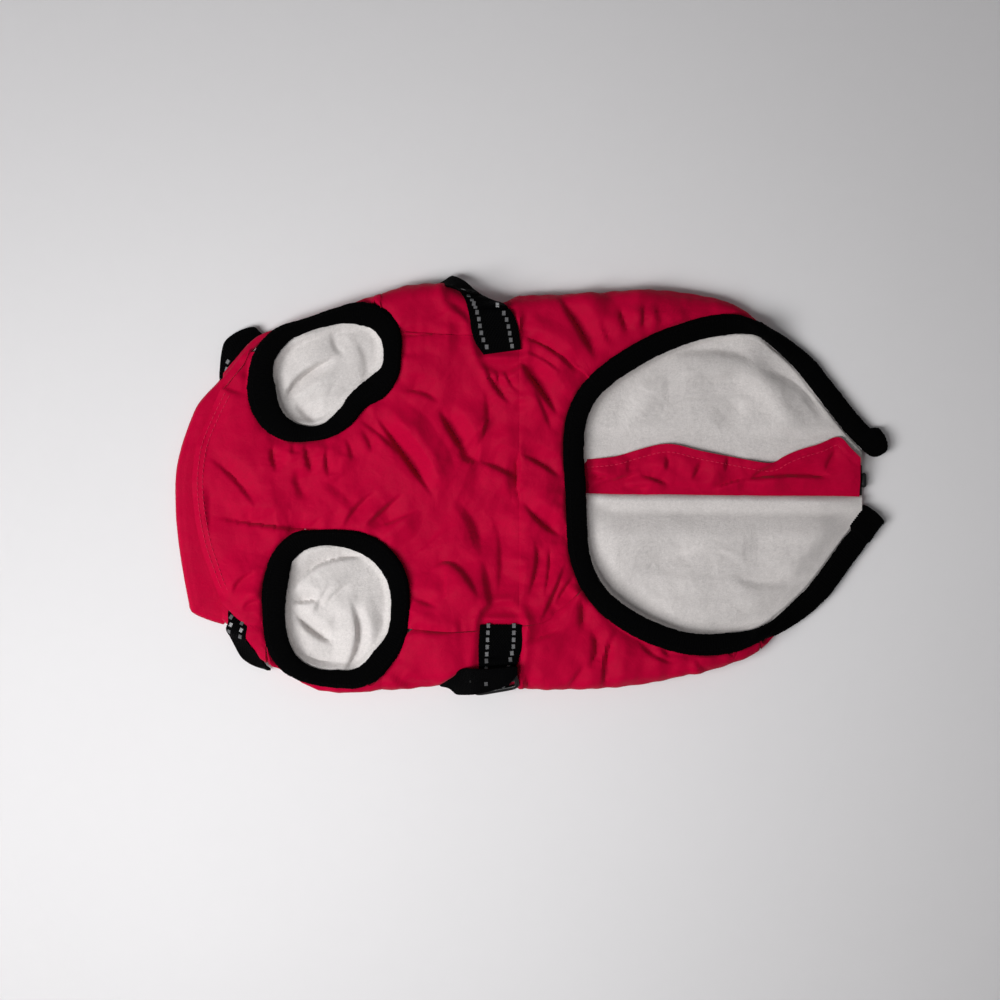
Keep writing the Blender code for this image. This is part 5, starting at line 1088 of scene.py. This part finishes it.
def dashes(strap, where, first, last):
    """A row of short raised reflective bars, where across the webbing (0 to 1), between two distances along."""
    path, across, face = strap
    gone = lengths(path)
    at = np.arange(first, min(last, gone[-1]), look().dash_pitch / MM)
    size = np.array([[-1, -1, -1], [1, -1, -1], [1, 1, -1], [-1, 1, -1], [-0.85, -0.8, 1], [0.85, -0.8, 1],
                     [0.85, 0.8, 1], [-0.85, 0.8, 1]]) * np.array([1.45, 1.15, 0.22])
    quads = np.array([[0, 3, 2, 1], [4, 5, 6, 7], [0, 1, 5, 4], [1, 2, 6, 5], [2, 3, 7, 6], [3, 0, 4, 7]])
    spot, wide, up = (np.column_stack([np.interp(at, gone, a[:, k]) for k in range(3)]) for a in strap)
    spot = spot + wide * (where - 0.5)
    up, wide = unit(up), unit(wide)
    middle = spot + up * 0.8
    middle[:, 2] = np.maximum(middle[:, 2], 0.5)
    return [scattered((size, [(quads, size[quads][..., :2])]), middle, np.cross(wide, up), wide, up)]


def slider_axes():
    """The slider's middle on the right side roll, its direction down the roll and its outward face."""
    below = stations_at(RIGHT_STATIONS, np.linspace(RIGHT_GIRTH_X - 12.5, RIGHT_GIRTH_X + 12.5, 9))[0]
    roll = float(stations_at(RIGHT_STATIONS, RIGHT_GIRTH_X)[1])
    half_high = float(side_top(RIGHT_GIRTH_X)) / 2
    middle = below.max() - SHELL_WALL / 2 - roll
    turned = math.radians(SLIDER_TILT)
    face = np.array([0.0, -math.cos(turned), math.sin(turned)])
    down = np.array([0.0, -math.sin(turned), -math.cos(turned)])
    seat = np.array([RIGHT_GIRTH_X, -(middle + (roll + SHELL_WALL / 2) * math.cos(turned)),
                     half_high * (1 + math.sin(turned))])
    return seat + face * SLIDER_LIFT - down, down, face


def slider(plastic):
    """A three-bar slider: a rounded section carried round a rounded rectangle, and one bar across its middle."""
    centre, down, face = slider_axes()
    turn = np.linspace(0, 2 * np.pi, 72, endpoint=False)
    wide = 13.2 * np.sign(np.cos(turn)) * np.abs(np.cos(turn)) ** 0.34
    deep = 6.2 * np.sign(np.sin(turn)) * np.abs(np.sin(turn)) ** 0.34
    level, fall = np.array([1.0, 0.0, 0.0]), down
    skew = math.radians(SLIDER_SKEW)
    side, down = level * math.cos(skew) - fall * math.sin(skew), fall * math.cos(skew) + level * math.sin(skew)
    path = centre + side * wide[:, None] + down * deep[:, None]
    inward = unit(side * (-np.sign(wide) * np.abs(wide / 13.2) ** 6)[:, None]
                  + down * (-np.sign(deep) * np.abs(deep / 6.2) ** 6)[:, None])
    frame_part = tube(swept(path, inward, np.tile(face, (72, 1)), 1.4, 1.3, 14, 0.55), True)
    along = np.linspace(-12.8, 12.8, 12)
    bar = centre + side * along[:, None]
    bar_part = tube(swept(bar, np.tile(down, (12, 1)), np.tile(face, (12, 1)), 1.5, 1.3, 14, 0.55))
    piece("slider_buckle", *together([frame_part, bar_part]), plastic, "hard_plastic", ["strap_slider"])


def straps(finish, silver):
    """The girth straps, the neck straps and the loose end beside the slider, then all their reflective bars."""
    left = webbing_tape("girth_webbing_left", "girth_strap_left", LEFT_GIRTH, finish)
    right = webbing_tape("girth_webbing_right", "girth_strap_right", RIGHT_GIRTH, finish)
    neck_left = webbing_tape("neck_webbing_left", "neck_strap_left", LEFT_NECK, finish)
    neck_right = webbing_tape("neck_webbing_right", "neck_strap_right", RIGHT_NECK, finish)
    webbing_tape("webbing_tail", "strap_tail", LOOSE_END, finish, False)
    parts = []
    for strap, where, first, last in (
        (left, 0.2, 4, 88), (left, 0.8, 4, 88), (left, 0.2, 125.5, 200), (left, 0.8, 143, 200),
        (right, 0.2, 4, 200), (right, 0.8, 4, 200),
    ):
        parts += dashes(strap, where, first, min(last, lengths(strap[0])[-1] - 0.5))
    parts += dashes(neck_left, 0.4, 36.0, 50.0)
    parts += dashes(neck_right, 0.17, 4.0, 17.0) + dashes(neck_right, 0.72, 4.0, 19.0)
    piece("reflective_bars", *together(parts), silver, "webbing")


def on_belly(path, lift=0.15):
    """A path in plan laid on the belly side, and the way the cloth faces there."""
    x, y = path[:, 0], path[:, 1]
    height = belly_height(x, y)
    slope_x = (belly_height(x + 0.6, y) - belly_height(x - 0.6, y)) / 1.2
    slope_y = (belly_height(x, y + 0.6) - belly_height(x, y - 0.6)) / 1.2
    face = unit(np.column_stack([-slope_x, -slope_y, np.ones(len(x))]))
    return np.column_stack([x, y, height]) + face * lift, face


def stitching(pink, black):
    """Rows of stitches on the neck edge, the flap's hem and the bindings."""
    neck = rounded_path(NECK_EDGE, 1.5)
    rows = []
    for far, drop in ((3.4, -0.3), (6.6, -0.3)):
        path = offset(neck, -far)
        path = path[2:-2]
        spots, face = on_belly(path)
        gone, full = lengths(path), lengths(neck)[-1]
        low = smooth((gone + 2) / 13) * smooth((full - gone - 4) / 13)
        spots[:, 2] -= ((crown(path[:, 0], path[:, 1]) - 6.9) * (1 - far / 13) ** 2 + drop) * low
        rows.append(stitch_line(spots, face, 2.4, 0.8, 0.2))
    free = rounded_path(FLAP_FREE_EDGE, 1.5)
    free = free[(free[:, 0] > 30) & (free[:, 0] < 192)]
    path = offset(free, 4.9)
    spots = np.column_stack([path, flap_height(path[:, 0], path[:, 1]) + 0.1])
    rows.append(stitch_line(spots, np.tile([0.0, 0.0, 1.0], (len(spots), 1)), 2.2, 0.8, 0.24))
    piece("cloth_topstitch", *together(rows), pink, "shell")
    rows = []
    for centre, table in ((LEFT_ARM_CENTRE, LEFT_ARM), (RIGHT_ARM_CENTRE, RIGHT_ARM)):
        ring = arm_path(centre, table, 1.5)
        gone = lengths(ring[:, :2])
        wave = 0.7 * np.sin(gone * 2 * np.pi * 5 / gone[-1])
        path = offset(ring, 0.55 * ring[:, 3], True)
        spots = np.column_stack([path, crown(ring[:, 0], ring[:, 1]) + wave + 1.35])
        rows.append(stitch_line(spots, np.tile([0.0, 0.0, 1.0], (len(spots), 1)), 2.4, 0.9, 0.26))
    path, wide, high, half, thick = hem_table(1.5)
    for side in (-1, 1):
        spots = path + wide * (0.5 * half)[:, None] + side * high * (thick * 0.93)[:, None]
        rows.append(stitch_line(spots[8:-8], side * high[8:-8], 2.4, 0.9, 0.26))
    piece("binding_topstitch", *together(rows), black, "binding")


def put_node(tree, kind, inputs=None, **kept):
    """A node with its settings, and each input set to a value or joined to another node's output."""
    made = tree.nodes.new(kind)
    for name, value in kept.items():
        setattr(made, name, value)
    for key, value in (inputs or {}).items():
        if isinstance(value, bpy.types.NodeSocket):
            tree.links.new(value, made.inputs[key])
        else:
            made.inputs[key].default_value = value
    return made


def sums(tree, operation, *values):
    made = tree.nodes.new("ShaderNodeMath")
    made.operation = operation
    for k, value in enumerate(values):
        if isinstance(value, bpy.types.NodeSocket):
            tree.links.new(value, made.inputs[k])
        else:
            made.inputs[k].default_value = value
    return made.outputs[0]


def node_group(name, inputs, outputs):
    """An empty shader node group with its sockets, ready to be filled once."""
    group = bpy.data.node_groups.new(name, "ShaderNodeTree")
    for label, kind, value in inputs:
        socket = group.interface.new_socket(name=label, in_out="INPUT", socket_type=kind)
        if value is not None:
            socket.default_value = value
    for label, kind in outputs:
        group.interface.new_socket(name=label, in_out="OUTPUT", socket_type=kind)
    return group, group.nodes.new("NodeGroupInput").outputs, group.nodes.new("NodeGroupOutput").inputs


def mottle_group():
    """Soft patches of a lighter and a darker shade, from two sizes of noise."""
    if "cloth mottle" in bpy.data.node_groups:
        return bpy.data.node_groups["cloth mottle"]
    group, given, result = node_group(
        "cloth mottle",
        (("Vector", "NodeSocketVector", None), ("Patch", "NodeSocketFloat", 0.03),
         ("Light", "NodeSocketColor", (1, 1, 1, 1)), ("Dark", "NodeSocketColor", (0, 0, 0, 1)),
         ("Low", "NodeSocketFloat", 0.4), ("High", "NodeSocketFloat", 0.6)),
        (("Color", "NodeSocketColor"), ("Value", "NodeSocketFloat")))
    broad = put_node(group, "ShaderNodeTexNoise", {"Vector": given["Vector"], "Scale": given["Patch"], "Detail": 3.0})
    fine = put_node(group, "ShaderNodeTexNoise", {
        "Vector": given["Vector"], "Scale": sums(group, "MULTIPLY", given["Patch"], 14.0), "Detail": 2.0})
    part = sums(group, "MULTIPLY_ADD", fine.outputs["Fac"], 0.35, sums(group, "MULTIPLY", broad.outputs["Fac"], 0.65))
    spread = put_node(group, "ShaderNodeMapRange", {"Value": part, "From Min": 0.35, "From Max": 0.65})
    mixed = put_node(group, "ShaderNodeMix", {6: given["Dark"], 7: given["Light"], 0: spread.outputs[0]},
                     data_type="RGBA")
    group.links.new(mixed.outputs[2], result["Color"])
    level = put_node(group, "ShaderNodeMapRange", {
        "Value": spread.outputs[0], "To Min": given["Low"], "To Max": given["High"]})
    group.links.new(level.outputs[0], result["Value"])
    return group


def weave_group():
    """Plain weave: each thread passes over and under the next, |sin u| on one set and |sin v| on the other."""
    if "plain weave" in bpy.data.node_groups:
        return bpy.data.node_groups["plain weave"]
    group, given, result = node_group(
        "plain weave",
        (("Vector", "NodeSocketVector", None), ("Along", "NodeSocketFloat", 0.5), ("Across", "NodeSocketFloat", 0.5)),
        (("Height", "NodeSocketFloat"), ("Mask", "NodeSocketFloat")))
    parts = put_node(group, "ShaderNodeSeparateXYZ", {0: given["Vector"]})
    u = sums(group, "MULTIPLY", sums(group, "DIVIDE", parts.outputs[0], given["Along"]), math.pi)
    v = sums(group, "MULTIPLY", sums(group, "DIVIDE", parts.outputs[1], given["Across"]), math.pi)
    over = sums(group, "MULTIPLY", sums(group, "SINE", u), sums(group, "SINE", v))
    step = sums(group, "GREATER_THAN", over, 0.0)
    one = sums(group, "ABSOLUTE", sums(group, "SINE", u))
    two = sums(group, "ABSOLUTE", sums(group, "SINE", v))
    mixed = put_node(group, "ShaderNodeMix", {0: step, 2: one, 3: two})
    group.links.new(mixed.outputs[0], result["Height"])
    group.links.new(step, result["Mask"])
    return group


def nap_group():
    """Fuzz of short fibres: fine noise drawn out along a wandering direction, with clumps of a larger size."""
    if "fibre nap" in bpy.data.node_groups:
        return bpy.data.node_groups["fibre nap"]
    group, given, result = node_group(
        "fibre nap",
        (("Vector", "NodeSocketVector", None), ("Fibre", "NodeSocketFloat", 2.0), ("Clump", "NodeSocketFloat", 0.4)),
        (("Height", "NodeSocketFloat"), ("Mask", "NodeSocketFloat")))
    clumps = put_node(group, "ShaderNodeTexNoise", {
        "Vector": given["Vector"], "Scale": given["Clump"], "Detail": 4.0, "Roughness": 0.65})
    fibres = put_node(group, "ShaderNodeTexNoise", {
        "Vector": given["Vector"], "Scale": given["Fibre"], "Detail": 3.0, "Roughness": 0.7, "Distortion": 1.5})
    height = sums(group, "MULTIPLY_ADD", clumps.outputs["Fac"], 0.5, fibres.outputs["Fac"])
    group.links.new(height, result["Height"])
    group.links.new(clumps.outputs["Fac"], result["Mask"])
    return group


def start_finish(name, roughness, **constants):
    """A material with its surface shader, and the cloth coordinates in millimetres."""
    made = bpy.data.materials.new(name)
    made.use_nodes = True
    tree = made.node_tree
    shader = tree.nodes["Principled BSDF"]
    shader.inputs["Roughness"].default_value = roughness
    for label, value in constants.items():
        shader.inputs[label.replace("_", " ")].default_value = value
    place = put_node(tree, "ShaderNodeUVMap", uv_map="cloth").outputs[0]
    return made, tree, shader, place


def mottled(tree, shader, place, patch, light, dark, low=None, high=None):
    """Puts the mottle on a shader's colour, and on its roughness where a range is given."""
    spots = put_node(tree, "ShaderNodeGroup", node_tree=mottle_group())
    tree.links.new(place, spots.inputs["Vector"])
    spots.inputs["Patch"].default_value = patch
    spots.inputs["Light"].default_value = light
    spots.inputs["Dark"].default_value = dark
    if low is not None:
        spots.inputs["Low"].default_value = low
        spots.inputs["High"].default_value = high
        tree.links.new(spots.outputs["Value"], shader.inputs["Roughness"])
    tree.links.new(spots.outputs["Color"], shader.inputs["Base Color"])
    return spots


def bumped(tree, shader, heights):
    """Bump nodes one on another, each with its height in metres: (height socket, distance, strength)."""
    normal = None
    for height, distance, strength in heights:
        bump = put_node(tree, "ShaderNodeBump", {"Height": height, "Distance": distance, "Strength": strength})
        if normal is not None:
            tree.links.new(normal, bump.inputs["Normal"])
        normal = bump.outputs["Normal"]
    tree.links.new(normal, shader.inputs["Normal"])


def shade(colour, factor):
    return tuple(min(1.0, c * factor) for c in colour[:3]) + (1.0,)


def finish(name):
    """The named finish, made the first time it is asked for."""
    if name in bpy.data.materials:
        return bpy.data.materials[name]
    return FINISHES[name](name)


def shell_cloth(name):
    """Downproof woven polyester: a fine plain weave with a slight shine, and small soft wrinkles."""
    colour = look().shell_colour
    made, tree, shader, place = start_finish(name, 0.5, Sheen_Weight=0.07, Sheen_Roughness=0.4)
    shader.inputs["Specular IOR Level"].default_value = 0.02
    mottled(tree, shader, place, 0.02, shade(colour, 1.05), shade(colour, 0.93), 0.42, 0.56)
    weave = put_node(tree, "ShaderNodeGroup", {"Vector": place, "Along": 0.55, "Across": 0.42},
                     node_tree=weave_group())
    wrinkle = put_node(tree, "ShaderNodeTexNoise", {
        "Vector": place, "Scale": 0.16, "Detail": 5.0, "Roughness": 0.55, "Distortion": 0.8})
    bumped(tree, shader, ((wrinkle.outputs["Fac"], 0.0012, 0.3), (weave.outputs["Height"], 0.00008, 0.3)))
    return made


def fleece_cloth(name):
    """Brushed polyester fleece: matt white, a fuzz of fibres and small clumps, with painted shade in the nap's
    hollows and painted light on its tufts.
    """
    colour = look().fleece_colour
    made, tree, shader, place = start_finish(name, 1.0, Sheen_Weight=0.12, Sheen_Roughness=0.6)
    shader.inputs["Specular IOR Level"].default_value = 0.1
    spots = mottled(tree, shader, place, 0.07, shade(colour, 1.02), shade(colour, 0.95))
    nap = put_node(tree, "ShaderNodeGroup", {"Vector": place, "Fibre": 1.3, "Clump": 0.5}, node_tree=nap_group())
    # painted shade and light: the nap's height darkens the colour in its hollows (down to 0.72) and lightens it on
    # its tufts (up to 1.13)
    grain = put_node(tree, "ShaderNodeMapRange", {"Value": nap.outputs["Height"], "From Min": 0.45, "From Max": 1.05,
                                                  "To Min": 0.72, "To Max": 1.13})
    grey = put_node(tree, "ShaderNodeMix", {0: 1.0, 6: spots.outputs["Color"], 7: grain.outputs[0]},
                    data_type="RGBA", blend_type="MULTIPLY")
    tree.links.new(grey.outputs[2], shader.inputs["Base Color"])
    bumped(tree, shader, ((nap.outputs["Height"], 0.0010, 0.6),))
    return made


def binding_knit(name):
    """Black ribbed knit: matt yarn with a soft nap that greys its edges a little."""
    colour = look().binding_colour
    made, tree, shader, place = start_finish(name, 0.95)
    shader.inputs["Specular IOR Level"].default_value = 0.03
    mottled(tree, shader, place, 0.5, shade(colour, 1.5), shade(colour, 0.7))
    nap = put_node(tree, "ShaderNodeGroup", {"Vector": place, "Fibre": 2.6, "Clump": 0.9}, node_tree=nap_group())
    bumped(tree, shader, ((nap.outputs["Height"], 0.0005, 0.7),))
    return made


def webbing_weave(name):
    """Black polyester webbing: a close weave of thick threads with a dull shine."""
    colour = look().webbing_colour
    made, tree, shader, place = start_finish(name, 0.6)
    shader.inputs["Specular IOR Level"].default_value = 0.02
    mottled(tree, shader, place, 0.3, shade(colour, 1.4), shade(colour, 0.7), 0.5, 0.7)
    weave = put_node(tree, "ShaderNodeGroup", {"Vector": place, "Along": 1.1, "Across": 0.8},
                     node_tree=weave_group())
    bumped(tree, shader, ((weave.outputs["Height"], 0.0004, 0.8),))
    return made


def zip_tape_weave(name):
    """Black zip tape: a finer, flatter weave than the webbing's."""
    colour = look().webbing_colour
    made, tree, shader, place = start_finish(name, 0.75)
    mottled(tree, shader, place, 0.4, shade(colour, 1.4), shade(colour, 0.8))
    weave = put_node(tree, "ShaderNodeGroup", {"Vector": place, "Along": 0.5, "Across": 0.5},
                     node_tree=weave_group())
    bumped(tree, shader, ((weave.outputs["Height"], 0.0002, 0.6),))
    return made


def silver_bars(name):
    """Reflective film woven into the webbing: pale grey with a fine grain and scuffed patches."""
    colour = look().reflective_colour
    made, tree, shader, place = start_finish(name, 0.4, Metallic=0.15)
    spots = put_node(tree, "ShaderNodeTexCoord")
    mottled(tree, shader, spots.outputs["Object"], 260.0, shade(colour, 1.1), shade(colour, 0.6), 0.3, 0.55)
    grain = put_node(tree, "ShaderNodeTexNoise", {"Vector": spots.outputs["Object"], "Scale": 2600.0})
    bumped(tree, shader, ((grain.outputs["Fac"], 0.0001, 0.5),))
    return made


def moulded_plastic(name):
    """Black acetal: smooth with a fine moulded grain, duller where it is rubbed."""
    colour = look().plastic_colour
    made, tree, shader, place = start_finish(name, 0.35)
    spots = put_node(tree, "ShaderNodeTexCoord")
    mottled(tree, shader, spots.outputs["Object"], 180.0, shade(colour, 1.2), shade(colour, 0.8), 0.28, 0.45)
    grain = put_node(tree, "ShaderNodeTexNoise", {"Vector": spots.outputs["Object"], "Scale": 1800.0})
    bumped(tree, shader, ((grain.outputs["Fac"], 0.00006, 0.5),))
    return made


def sewing_thread(name, colour):
    """Twisted thread: fine slanting plies, matt."""
    made, tree, shader, place = start_finish(name, 0.8)
    shader.inputs["Specular IOR Level"].default_value = 0.05
    mottled(tree, shader, place, 0.9, shade(colour, 1.15), shade(colour, 0.85))
    plies = put_node(tree, "ShaderNodeTexWave", {"Vector": place, "Scale": 0.9, "Distortion": 0.4},
                     bands_direction="DIAGONAL")
    bumped(tree, shader, ((plies.outputs["Fac"], 0.0001, 0.7),))
    return made


def studio_floor(name):
    """Pale paper: matt, with a faint cloudiness."""
    colour = look().floor_colour
    made, tree, shader, place = start_finish(name, 0.9)
    shader.inputs["Specular IOR Level"].default_value = 0.1
    spots = put_node(tree, "ShaderNodeTexCoord")
    mottled(tree, shader, spots.outputs["Object"], 6.0, shade(colour, 1.0), shade(colour, 0.985))
    return made


FINISHES = {
    "shell cloth": shell_cloth,
    "brushed fleece": fleece_cloth,
    "ribbed binding": binding_knit,
    "woven webbing": webbing_weave,
    "zip tape": zip_tape_weave,
    "reflective bars": silver_bars,
    "moulded plastic": moulded_plastic,
    # shell thread: its own pink, painted lighter than the shell as a highlight, so the rows of stitches show as light
    # lines
    "shell thread": lambda name: sewing_thread(name, (0.6, 0.02, 0.07, 1.0)),
    "black thread": lambda name: sewing_thread(name, shade(look().binding_colour, 1.3)),
    "studio floor": studio_floor,
}


def length_setting(name, text, default, low, high):
    return bpy.props.FloatProperty(name=name, description=text, default=default, min=low, max=high,
                                   subtype="DISTANCE", unit="LENGTH", precision=5)


def colour_setting(name, text, default):
    return bpy.props.FloatVectorProperty(name=name, description=text, default=default, size=3, min=0.0, max=1.0,
                                         subtype="COLOR")


class DogCoatLook(bpy.types.PropertyGroup):
    """Sizes and colours that a user would change before the coat is built."""

    crease_strength: bpy.props.FloatProperty(
        name="Crease strength", description="How deep the padding's creases are", default=1.2, min=0.0, max=2.5)
    facet_height: length_setting("Facet height", "Height of the cloth's broad crumpled planes", 0.0020, 0.0, 0.006)
    fleece_relief: length_setting("Fleece relief", "Height of the fleece's small tufts", 0.00012, 0.0, 0.001)
    rib_pitch: length_setting("Rib pitch", "Distance between the binding's ribs", 0.0015, 0.001, 0.004)
    rib_height: length_setting("Rib height", "How far the binding's ribs stand out", 0.0003, 0.0, 0.001)
    dash_pitch: length_setting("Bar pitch", "Distance between the reflective bars", 0.0042, 0.003, 0.008)
    shell_colour: colour_setting("Shell", "Colour of the outer cloth", (0.400, 0.0003, 0.028))
    fleece_colour: colour_setting("Fleece", "Colour of the lining", (0.72, 0.68, 0.665))
    binding_colour: colour_setting("Binding", "Colour of the ribbed binding", (0.0008, 0.0008, 0.0009))
    webbing_colour: colour_setting("Webbing", "Colour of the straps", (0.001, 0.001, 0.0012))
    reflective_colour: colour_setting("Reflective bars", "Colour of the reflective bars", (0.12, 0.12, 0.125))
    plastic_colour: colour_setting("Plastic", "Colour of the slider and the end stop", (0.0015, 0.0015, 0.0017))
    floor_colour: colour_setting("Floor", "Colour of the studio floor", (0.72, 0.71, 0.72))
    key_power: bpy.props.FloatProperty(
        name="Key light", description="Power of the large light", default=8.1, min=0.0, unit="POWER")
    top_power: bpy.props.FloatProperty(
        name="Top light", description="Power of the small light above the belly", default=0.5, min=0.0, unit="POWER")
    fill_strength: bpy.props.FloatProperty(
        name="Fill light", description="Strength of the even light all round", default=0.19, min=0.0)


class BuildBase:
    """What the building operators share: each builds its pieces and says that it is done."""

    bl_options = {"REGISTER", "UNDO"}

    def execute(self, context):
        self.build()
        return {"FINISHED"}


class DOGCOAT_OT_stage(BuildBase, bpy.types.Operator):
    """Put down the floor, the lights and the camera"""

    bl_idname = "dogcoat.stage"
    bl_label = "Stage"

    def build(self):
        studio()


class DOGCOAT_OT_belly(BuildBase, bpy.types.Operator):
    """Build the padded chest and belly panels"""

    bl_idname = "dogcoat.belly"
    bl_label = "Chest and belly panels"

    def build(self):
        belly_side(finish("shell cloth"))


class DOGCOAT_OT_back(BuildBase, bpy.types.Operator):
    """Build the two halves of the outer back"""

    bl_idname = "dogcoat.back"
    bl_label = "Outer back"

    def build(self):
        cloth = finish("shell cloth")
        back_half("back_cloth_left", "back_shell_left", LEFT_STATIONS, 1.0, LEFT_ROLL_CREASES, LEFT_GIRTH_X, cloth)
        back_half("back_cloth_right", "back_shell_right", RIGHT_STATIONS, -1.0, RIGHT_ROLL_CREASES,
                  RIGHT_GIRTH_X, cloth)


class DOGCOAT_OT_fleece(BuildBase, bpy.types.Operator):
    """Build the two halves of the fleece lining"""

    bl_idname = "dogcoat.fleece"
    bl_label = "Fleece lining"

    def build(self):
        fleece_half("fleece_left", "lining_left", LEFT_STATIONS, 1.0, (12.3, 12.3), finish("brushed fleece"))
        fleece_half("fleece_right", "lining_right", RIGHT_STATIONS, -1.0, (-4.8, -6.2),
                    finish("brushed fleece"))


class DOGCOAT_OT_collar(BuildBase, bpy.types.Operator):
    """Build the neck band"""

    bl_idname = "dogcoat.collar"
    bl_label = "Neck band"

    def build(self):
        collar_band(finish("shell cloth"))


class DOGCOAT_OT_zip(BuildBase, bpy.types.Operator):
    """Build the zip, its end stop and the wind flap over it"""

    bl_idname = "dogcoat.zip"
    bl_label = "Zip and wind flap"

    def build(self):
        wind_flap(finish("shell cloth"))
        zip_teeth(finish("zip tape"), finish("moulded plastic"))
        zip_end(finish("moulded plastic"))


class DOGCOAT_OT_bindings(BuildBase, bpy.types.Operator):
    """Build the ribbed bindings of the leg holes and the hem"""

    bl_idname = "dogcoat.bindings"
    bl_label = "Bindings"

    def build(self):
        knit = finish("ribbed binding")
        arm_binding("arm_knit_left", "armhole_binding_left", LEFT_ARM_CENTRE, LEFT_ARM, knit)
        arm_binding("arm_knit_right", "armhole_binding_right", RIGHT_ARM_CENTRE, RIGHT_ARM, knit)
        hem_binding(knit)


class DOGCOAT_OT_straps(BuildBase, bpy.types.Operator):
    """Build the girth straps, the slider, the strap's free end and the neck straps"""

    bl_idname = "dogcoat.straps"
    bl_label = "Straps and slider"

    def build(self):
        straps(finish("woven webbing"), finish("reflective bars"))
        slider(finish("moulded plastic"))


class DOGCOAT_OT_stitching(BuildBase, bpy.types.Operator):
    """Sew the rows of stitches"""

    bl_idname = "dogcoat.stitching"
    bl_label = "Stitching"

    def build(self):
        stitching(finish("shell thread"), finish("black thread"))


class DOGCOAT_PT_panel(bpy.types.Panel):
    """The coat's settings and its building steps"""

    bl_idname = "DOGCOAT_PT_panel"
    bl_label = "Dog winter coat"
    bl_space_type = "VIEW_3D"
    bl_region_type = "UI"
    bl_category = "Coat"

    def draw(self, context):
        for name in DogCoatLook.__annotations__:
            self.layout.prop(context.scene.dog_coat, name)
        for step in STEPS:
            self.layout.operator(step.bl_idname)


STEPS = (
    DOGCOAT_OT_stage,
    DOGCOAT_OT_back,
    DOGCOAT_OT_fleece,
    DOGCOAT_OT_belly,
    DOGCOAT_OT_collar,
    DOGCOAT_OT_zip,
    DOGCOAT_OT_bindings,
    DOGCOAT_OT_straps,
    DOGCOAT_OT_stitching,
)


def studio():
    """Pale floor, a large soft light from the left, a weak even fill, and a camera looking straight down."""
    scene = bpy.context.scene
    scene.view_settings.view_transform = "Standard"
    mesh = bpy.data.meshes.new("studio_floor")
    half = 3.0
    mesh.from_pydata([(-half, -half, -0.0002), (half, -half, -0.0002), (half, half, -0.0002), (-half, half, -0.0002)],
                     [], [(0, 1, 2, 3)])
    floor = bpy.data.objects.new("studio_floor", mesh)
    scene.collection.objects.link(floor)
    mesh.materials.append(finish("studio floor"))
    world = bpy.data.worlds.new("even_fill")
    world.use_nodes = True
    world.node_tree.nodes["Background"].inputs["Color"].default_value = (1.0, 0.99, 1.0, 1.0)
    world.node_tree.nodes["Background"].inputs["Strength"].default_value = look().fill_strength
    scene.world = world
    light = bpy.data.lights.new("key_light", "AREA")
    light.shape = "DISK"
    light.size = 0.9
    light.energy = look().key_power
    light.spread = math.radians(110)
    key = bpy.data.objects.new("key_light", light)
    place, aim = np.array([-1.14, -0.42, 1.08]), np.array([-0.07, -0.03, 0.0])
    key.location = place
    key.rotation_euler = Vector(aim - place).to_track_quat("-Z", "Y").to_euler()
    scene.collection.objects.link(key)
    light = bpy.data.lights.new("top_light", "AREA")
    light.shape = "DISK"
    light.size = 0.4
    light.energy = look().top_power
    light.spread = math.radians(42)
    top = bpy.data.objects.new("top_light", light)
    place, aim = np.array([-0.5, -0.42, 1.35]), np.array([-0.1, -0.13, 0.0])
    top.location = place
    top.rotation_euler = Vector(aim - place).to_track_quat("-Z", "Y").to_euler()
    scene.collection.objects.link(top)
    lens = bpy.data.cameras.new("camera")
    lens.lens = 77.0
    lens.sensor_width = 36.0
    lens.clip_start = 0.01
    camera = bpy.data.objects.new("camera", lens)
    camera.location = ((PLAN_SHIFT[0] - 18.6) * MM, (PLAN_SHIFT[1] - 9.0) * MM, 1.300)
    scene.collection.objects.link(camera)
    scene.camera = camera


def register():
    bpy.utils.register_class(DogCoatLook)
    bpy.types.Scene.dog_coat = bpy.props.PointerProperty(type=DogCoatLook)
    for step in STEPS:
        bpy.utils.register_class(step)
    bpy.utils.register_class(DOGCOAT_PT_panel)


def unregister():
    bpy.utils.unregister_class(DOGCOAT_PT_panel)
    for step in reversed(STEPS):
        bpy.utils.unregister_class(step)
    del bpy.types.Scene.dog_coat
    bpy.utils.unregister_class(DogCoatLook)


def main():
    """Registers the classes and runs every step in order."""
    register()
    for step in STEPS:
        group, name = step.bl_idname.split(".")
        getattr(getattr(bpy.ops, group), name)()


if __name__ == "__main__":
    main()
